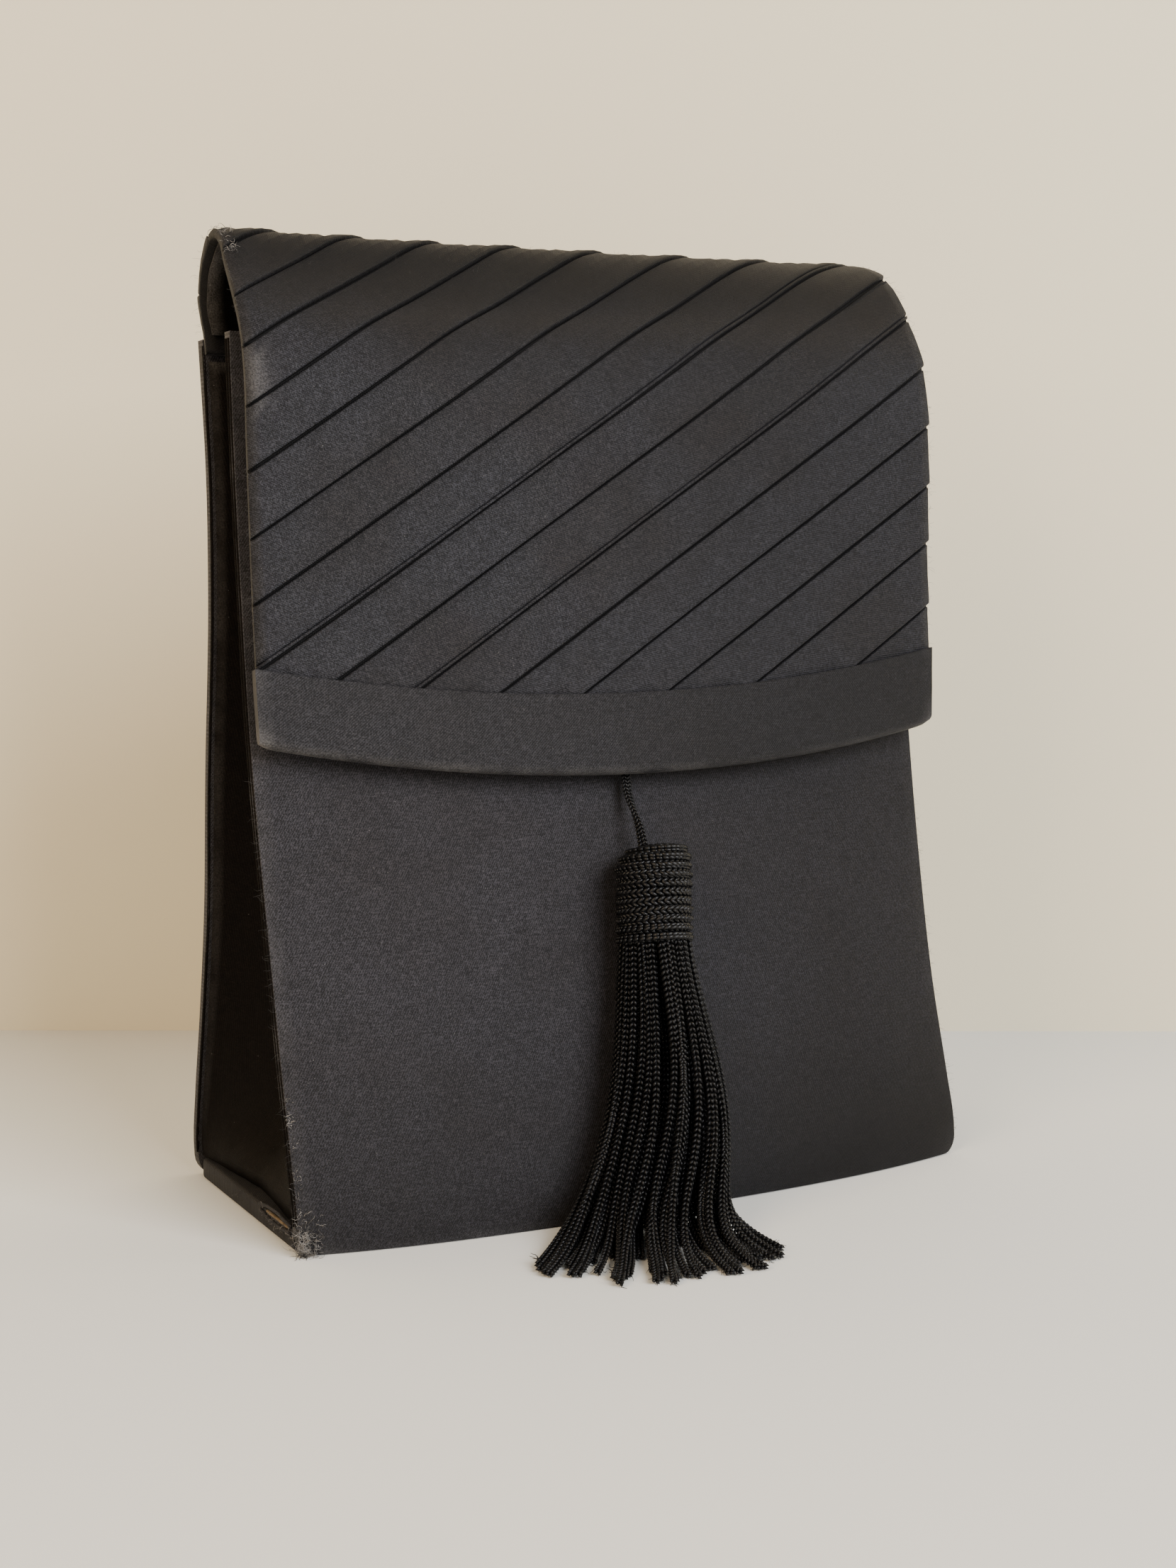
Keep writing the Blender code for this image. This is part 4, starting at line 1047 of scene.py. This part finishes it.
def flap_mesh(name):
    """Slanted rows of tucks on flat cloth, trimmed to the flap's two ends and then laid on its curved form."""
    rows = pleat_relief()
    foot = BAND_THICKNESS + FLAP_THICKNESS / 2 + FRONT_GAP
    pressed = BAND_HEIGHT - 0.0008
    columns = 64
    bm = bmesh.new()
    bmesh.ops.create_grid(bm, x_segments=columns, y_segments=len(rows) - 1, size=1.0)
    shade_layer = bm.verts.layers.float.new("painted_shade")
    wear_layer = bm.verts.layers.float.new("wear")
    inner_layer = bm.verts.layers.int.new("inner")
    for vert in bm.verts:
        place, rise, shade, gape, tuck = rows[round((vert.co.y + 1) / 2 * (len(rows) - 1))]
        x = vert.co.x * HALF_WIDTH
        place -= gape * TUCK_GAPE * (0.35 + noise.noise(Vector((x * 21, tuck * 3.7, 4.0))) + 0.5 * ease(x / 0.12))
        rise = max(rise, -0.0001) if abs(x) > HALF_WIDTH - 0.0015 else rise
        run = x + HALF_WIDTH
        vert[shade_layer] = shade
        vert.co = Vector((x, place + (PLEAT_SLOPE + PLEAT_FANNING * place) * run - PLEAT_BEND * run**2, rise))
    cut_level(bm, foot, clear_outer=True, upwards=False)
    for vert in bm.verts:
        vert.co.y += band_loss(vert.co.x)
    cut_level(bm, pressed)
    cut_level(bm, pressed + 0.0008)
    shortest = flap_length(-HALF_WIDTH)
    for vert in bm.verts:
        vert.co.y -= band_loss(vert.co.x) + flap_length(vert.co.x) - shortest
    cut_level(bm, shortest, clear_outer=True)
    grown = bmesh.ops.extrude_face_region(bm, geom=bm.faces[:], use_keep_orig=True)
    for item in grown["geom"]:
        if isinstance(item, bmesh.types.BMVert):
            item[inner_layer] = 1
    weave = bm.loops.layers.uv.new("cloth")
    for face in bm.faces:
        for loop in face.loops:
            loop[weave].uv = (loop.vert.co.x, loop.vert.co.y + flap_length(loop.vert.co.x) - shortest)
    for vert in bm.verts:
        x, above, rise = vert.co
        up = above + flap_length(x) - shortest
        above_hem = flap_length(x) - up - 2 * FLAP_TUCK
        raised = rise * ease((up + band_loss(x) - pressed) / 0.0008) * ease(above_hem / (2 * FLAP_TUCK))
        end = (HALF_WIDTH - abs(x)) / 0.0013
        vert[wear_layer] = 0.28 * max(0.0, 1 - end) if up > pressed and not vert[inner_layer] else 0.0
        # Painted shade: darker over the top fold and towards the right end, much darker on the inner face and darker
        # on the cut ends.
        painted_flap_shade = 0.86 * ease((up - 0.078) / 0.046) + 0.30 * ease(x / HALF_WIDTH + 0.4) * (1 - ease((up - 0.08) / 0.03))
        if vert[inner_layer] or abs(x) > HALF_WIDTH - 0.0002:
            painted_flap_shade = 0.82 if vert[inner_layer] else 0.45
        vert[shade_layer] = max(vert[shade_layer], painted_flap_shade)
        if x < 0 and 0.073 < up < 0.087:
            vert[wear_layer] = max(vert[wear_layer], 0.7 * max(0.0, 1 - (x + HALF_WIDTH) / 0.006))
        turned = 0.0003 * max(0.0, 1 - end) ** 2
        vert.co = flap_offset(x, up, -FLAP_THICKNESS if vert[inner_layer] else raised - turned
                              + ripple(x, up, 0.00022, 9.0))
    bmesh.ops.recalc_face_normals(bm, faces=bm.faces[:])
    return mesh_from(bm, name)


pleat_finish = cloth_finish("pleated_cloth_finish", PLEAT_DARK, PLEAT_LIGHT, PLEAT_TINT, turn=75, sheen=0.03)
flap = add_piece("flap_pleated_cloth", flap_mesh("flap_pleated_cloth"), pleat_finish)
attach(flap, "root")
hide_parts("flap")

# Flap lining
# A thin plain cloth inside the flap, cut a little short of its ends, whose raw edge waves where it isn't sewn.
LINING_THICKNESS = 0.0006
LINING_INSET = 0.0008
LINING_WAVE = 0.0009
# The lining is black cloth; its colours are set darker still, near black, as painted shade in the hollow under the
# flap.
LINING_DARK = (0.0005, 0.0004, 0.0004)
LINING_LIGHT = (0.0040, 0.0032, 0.0028)
LINING_TINT = (0.0032, 0.0024, 0.0020)


def lining_mesh(name):
    low = BAND_HEIGHT + 2 * FRONT_GAP
    rows = 80

    def spot(u, v):
        wave = LINING_WAVE * (0.5 + 0.5 * noise.noise(Vector((v * 13, u, 2.0)))) * max(0.0, (abs(u) - 0.9) / 0.1)
        x = u * (HALF_WIDTH - LINING_INSET - wave)
        return x, low + v * (flap_length(x) - FLAP_TUCK - low)

    def place(u, v, side):
        x, up = spot(u, v)
        loose = 0.0011 * max(0.0, (abs(u) - 0.8) / 0.2) ** 2 * (0.5 + 0.5 * math.sin(v * 26 + u))
        return flap_offset(x, up, -FLAP_THICKNESS - FRONT_GAP - loose - side * LINING_THICKNESS)

    def wear(u, v, side):
        return 0.5 * max(0.0, (abs(u) - 0.994) / 0.006)

    return slab(name, 40, rows, place, lambda u, v, side: spot(u, v), wear)


lining_finish = cloth_finish("lining_finish", LINING_DARK, LINING_LIGHT, LINING_TINT, turn=8, warp=0.16, weft=0.16,
                             sheen=0.0, shine=0.04)
lining = add_piece("flap_lining_cloth", lining_mesh("flap_lining_cloth"), lining_finish)
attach(lining, "root")
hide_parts("flap_lining")

# Flap binding
# A straight strip of the same twill that wraps the flap's lower edge, folded over each end and sewn down. Its lower
# lip and its corners are rubbed pale.
BAND_OVERHANG = 0.0005
BAND_DARK = (0.0066, 0.0066, 0.0080)
BAND_LIGHT = (0.047, 0.0465, 0.0545)
BAND_TINT = (0.039, 0.0355, 0.0375)


def band_section(top):
    """(height up the flap, place out of its face, wear) along the binding, round the flap's lower edge."""
    reach = FLAP_THICKNESS / 2 + FRONT_GAP + BAND_THICKNESS
    flat = [(top - share * (top - reach), side) for share in (0.0, 0.04, 0.3, 0.6, 0.85) for side in (reach,)]
    rows = [(top - 0.0001, -FLAP_THICKNESS / 2 - 0.0001, 0.2)]
    rows += [(up, -out, 0.0) for up, out in flat]
    for step in range(9):
        angle = math.pi * step / 8
        rows.append((reach - reach * math.sin(angle), -reach * math.cos(angle), math.sin(angle)))
    rows += [(up, out, 0.0) for up, out in reversed(flat)]
    rows.append((top - 0.0001, FLAP_THICKNESS / 2 + 0.0001, 0.2))
    return [(up, out - FLAP_THICKNESS / 2, worn) for up, out, worn in rows]


def band_mesh(name):
    rows = len(band_section(BAND_HEIGHT)) - 1
    bm = bmesh.new()
    bmesh.ops.create_grid(bm, x_segments=96, y_segments=rows, size=1.0)
    wear_layer = bm.verts.layers.float.new("wear")
    shade_layer = bm.verts.layers.float.new("painted_shade")
    ends = {-1: [], 1: []}
    weave = bm.loops.layers.uv.new("cloth")
    for face in bm.faces:
        for loop in face.loops:
            up, out, worn = band_section(BAND_HEIGHT)[round((loop.vert.co.y + 1) / 2 * rows)]
            loop[weave].uv = (loop.vert.co.x * HALF_WIDTH, up if out > -0.001 else -up)
    for vert in bm.verts:
        row = round((vert.co.y + 1) / 2 * rows)
        u = vert.co.x
        up, out, worn = band_section(BAND_HEIGHT - band_loss(u * HALF_WIDTH))[row]
        if abs(u) > 0.9999:
            ends[-1 if u < 0 else 1].append((row, vert))
        x = u * (HALF_WIDTH + BAND_OVERHANG)
        end = max(0.0, 1 - (HALF_WIDTH - abs(x)) / 0.0022)
        corner = max(0.0, 1 - math.hypot(HALF_WIDTH - abs(x), up) / 0.0055)
        vert[wear_layer] = min(1.0, 0.62 * worn + 0.3 * end + 0.9 * corner)
        # Painted shade: the binding darkens towards its right end.
        vert[shade_layer] = 0.12 + 0.50 * ease(u * 0.7 + 0.5)
        rounded = 0.0005 * max(0.0, 1 - (HALF_WIDTH - abs(x)) / 0.0025) ** 2 * max(0.0, 1 - up / 0.004)
        vert.co = flap_offset(x, up + rounded, out + ripple(x, up, 0.00018, 21.0 + (out > 0)))
    for column in ends.values():
        bm.faces.new([vert for _, vert in sorted(column, key=lambda item: item[0])])
    caps = [face for face in bm.faces if len(face.verts) > 4]
    bmesh.ops.inset_region(bm, faces=caps, thickness=0.0004, depth=0.0002)
    bmesh.ops.recalc_face_normals(bm, faces=bm.faces[:])
    return mesh_from(bm, name)


band_finish = cloth_finish("binding_finish", BAND_DARK, BAND_LIGHT, BAND_TINT, turn=6, warp=0.20, weft=0.27,
                           sheen=0.03)
binding = add_piece("flap_binding_strip", band_mesh("flap_binding_strip"), band_finish)
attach(binding, "root")
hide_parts("flap_binding")

# Torn base end
# The cloth has worn through along the bottom's left end, near the front: the brown edge of the card shows between
# two curled lips of cloth, and the front corner is frayed to pale threads.
CARD_COLOUR = (0.170, 0.115, 0.058)
CARD_SLIT = (-0.0285, -0.0150, 0.0045)
LIP_WIDTH = 0.0008
FRAY_SEED = 23
FRAY_THICKNESS = 0.00013

card_finish, card_tree, card_shader = new_finish("card_finish")
card_place = node(card_tree, "ShaderNodeTexCoord")
card_noise = node(card_tree, "ShaderNodeTexNoise", (("Vector", card_place.outputs["Object"]), ("Scale", 900.0),
                                                    ("Detail", 3.0)))
card_tree.links.new(mixed(card_tree, card_noise.outputs["Fac"], CARD_COLOUR, (0.10, 0.066, 0.033)),
                    card_shader.inputs["Base Color"])
card_shader.inputs["Roughness"].default_value = 0.85
card_bm = bmesh.new()
slit_front, slit_back, slit_height = CARD_SLIT
bmesh.ops.create_cube(card_bm, size=1.0, matrix=Matrix.Translation((-BASE_END, (slit_front + slit_back) / 2, slit_height))
                      @ Matrix.Diagonal((0.0007, slit_back - slit_front, 0.0006, 1)))
bmesh.ops.bevel(card_bm, geom=card_bm.edges[:], offset=0.0002, segments=2, affect="EDGES", profile=0.5, material=-1)
card_edge = add_piece("card_edge", mesh_from(card_bm, "card_edge"), card_finish)
lip_lines = []
for level, seed in ((-0.0007, 3.0), (0.0008, 8.0)):
    line = []
    for step in range(24):
        y = slit_front - 0.002 + (slit_back - slit_front + 0.006) * step / 23
        gape = 0.0006 * math.sin(math.pi * step / 23)
        line.append(Vector((-BASE_END - 0.0002 + ripple(y, seed, 0.0008, 4.0), y,
                            slit_height + level + math.copysign(gape, level) + ripple(y * 2, seed, 0.0007, 6.0))))
    lip_lines.append(line)
torn_lips = tube_piece("torn_lips", lip_lines, LIP_WIDTH, body_finish)

fray_chance = random.Random(FRAY_SEED)
fray_lines = []
for _ in range(260):
    x = -HALF_WIDTH + fray_chance.uniform(0.0, 0.0055) * fray_chance.uniform(0.2, 1.0)
    z = fray_chance.uniform(0.0003, 0.0090) * fray_chance.uniform(0.2, 1.0)
    at = Vector((x, front_face(x, z) - fray_chance.uniform(-0.0004, 0.0004), z))
    way = Vector((fray_chance.uniform(-1.0, 0.6), fray_chance.uniform(-1.0, 0.1), fray_chance.uniform(-0.5, 0.6)))
    fray_lines.append(loose_fibre(at, way, fray_chance.uniform(0.0012, 0.0042), 1.0, fray_chance))
for _ in range(150):
    z = fray_chance.uniform(0.005, 0.034)
    x = -HALF_WIDTH + fray_chance.uniform(0.0, 0.0012)
    at = Vector((x, front_face(x, z) - fray_chance.uniform(-0.0006, 0.0002), z))
    way = Vector((fray_chance.uniform(-1.0, 0.8), fray_chance.uniform(-1.0, 0.2), fray_chance.uniform(-0.8, 0.8)))
    fray_lines.append(loose_fibre(at, way, fray_chance.uniform(0.0006, 0.0018), 0.9, fray_chance))
for _ in range(60):
    y = fray_chance.uniform(slit_front - 0.004, slit_back + 0.004)
    at = Vector((-BASE_END, y, slit_height + fray_chance.uniform(-0.002, 0.001)))
    way = Vector((-1.0, fray_chance.uniform(-0.8, 0.8), fray_chance.uniform(-0.8, 0.6)))
    fray_lines.append(loose_fibre(at, way, fray_chance.uniform(0.0006, 0.0020), 0.9, fray_chance))
for _ in range(50):
    up = flap_length(-HALF_WIDTH) * fray_chance.uniform(0.72, 0.80)
    at = flap_offset(-HALF_WIDTH + fray_chance.uniform(0, 0.003), up, 0.0004)
    way = Vector((fray_chance.uniform(-1.0, 0.6), fray_chance.uniform(-0.6, 0.4), fray_chance.uniform(0.0, 1.0)))
    fray_lines.append(loose_fibre(at, way, fray_chance.uniform(0.0008, 0.0024), 0.9, fray_chance))
thread_start = Vector((-BASE_END - 0.0002, 0.003, 0.0042))
for turn, side in ((0.9, 1), (1.3, -1)):
    fray_lines.append([thread_start + Vector((-0.0012 * math.sin(a * turn), side * 0.0026 * math.sin(a / 2) * turn,
                                              -0.0014 * math.sin(a))) for a in np.linspace(0, 3.0, 12)])
fray_finish, fray_tree, fray_shader = new_finish("fray_finish")
fray_place = node(fray_tree, "ShaderNodeTexCoord")
fray_noise = node(fray_tree, "ShaderNodeTexNoise", (("Vector", fray_place.outputs["Object"]), ("Scale", 420.0)))
fray_mask = clamped(sums(fray_tree, "MULTIPLY_ADD", fray_noise.outputs["Fac"], 5.0, -2.1))
fray_tree.links.new(mixed(fray_tree, fray_mask, (0.016, 0.015, 0.016), (0.27, 0.255, 0.24)),
                    fray_shader.inputs["Base Color"])
fray_shader.inputs["Roughness"].default_value = 0.85
frayed_corner = add_piece("frayed_threads", fibre_mesh("frayed_threads", fray_lines, FRAY_THICKNESS), fray_finish)
for piece in (card_edge, torn_lips, frayed_corner):
    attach(piece, "root")

# Loose fibres
# Wool fuzz along the flap's rubbed ends and across its fold, and on the front panel's side edges.
FUZZ_SEED = 5
FUZZ_THICKNESS = 0.00005

fuzz_chance = random.Random(FUZZ_SEED)
fuzz_lines = []
for _ in range(260):
    side = fuzz_chance.choice((-1, 1))
    up = fuzz_chance.uniform(0.02, 0.150)
    at = flap_offset(side * HALF_WIDTH, up, 0.0004)
    way = Vector((side * 1.0, fuzz_chance.uniform(-0.8, 0.5), fuzz_chance.uniform(-0.7, 0.7)))
    fuzz_lines.append(loose_fibre(at, way, fuzz_chance.uniform(0.0006, 0.0024), 0.6, fuzz_chance))
for _ in range(240):
    side = fuzz_chance.choice((-1, 1, 1))
    z = fuzz_chance.uniform(0.002, 0.10)
    at = Vector((side * HALF_WIDTH, front_face(side * HALF_WIDTH, z) + 0.0006, z))
    way = Vector((side * 1.0, fuzz_chance.uniform(-0.9, 0.4), fuzz_chance.uniform(-0.6, 0.6)))
    fuzz_lines.append(loose_fibre(at, way, fuzz_chance.uniform(0.0006, 0.0026), 0.6, fuzz_chance))
for _ in range(170):
    x = fuzz_chance.uniform(-HALF_WIDTH, HALF_WIDTH)
    length = flap_length(x)
    at = flap_offset(x, length * fuzz_chance.uniform(0.70, 0.80), 0.0004)
    way = Vector((fuzz_chance.uniform(-0.7, 0.7), fuzz_chance.uniform(-0.7, 0.5), 1.0))
    fuzz_lines.append(loose_fibre(at, way, fuzz_chance.uniform(0.0004, 0.0012), 0.6, fuzz_chance))
fuzz_material, fuzz_tree, fuzz_shader = new_finish("fuzz_finish")
fuzz_place = node(fuzz_tree, "ShaderNodeTexCoord")
fuzz_noise = node(fuzz_tree, "ShaderNodeTexNoise", (("Vector", fuzz_place.outputs["Object"]), ("Scale", 300.0)))
fuzz_tree.links.new(mixed(fuzz_tree, fuzz_noise.outputs["Fac"], (0.02, 0.02, 0.02), (0.10, 0.095, 0.09)),
                    fuzz_shader.inputs["Base Color"])
fuzz_shader.inputs["Roughness"].default_value = 0.8
edge_fuzz = add_piece("edge_fuzz", fibre_mesh("edge_fuzz", fuzz_lines, FUZZ_THICKNESS), fuzz_material)
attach(edge_fuzz, "root")
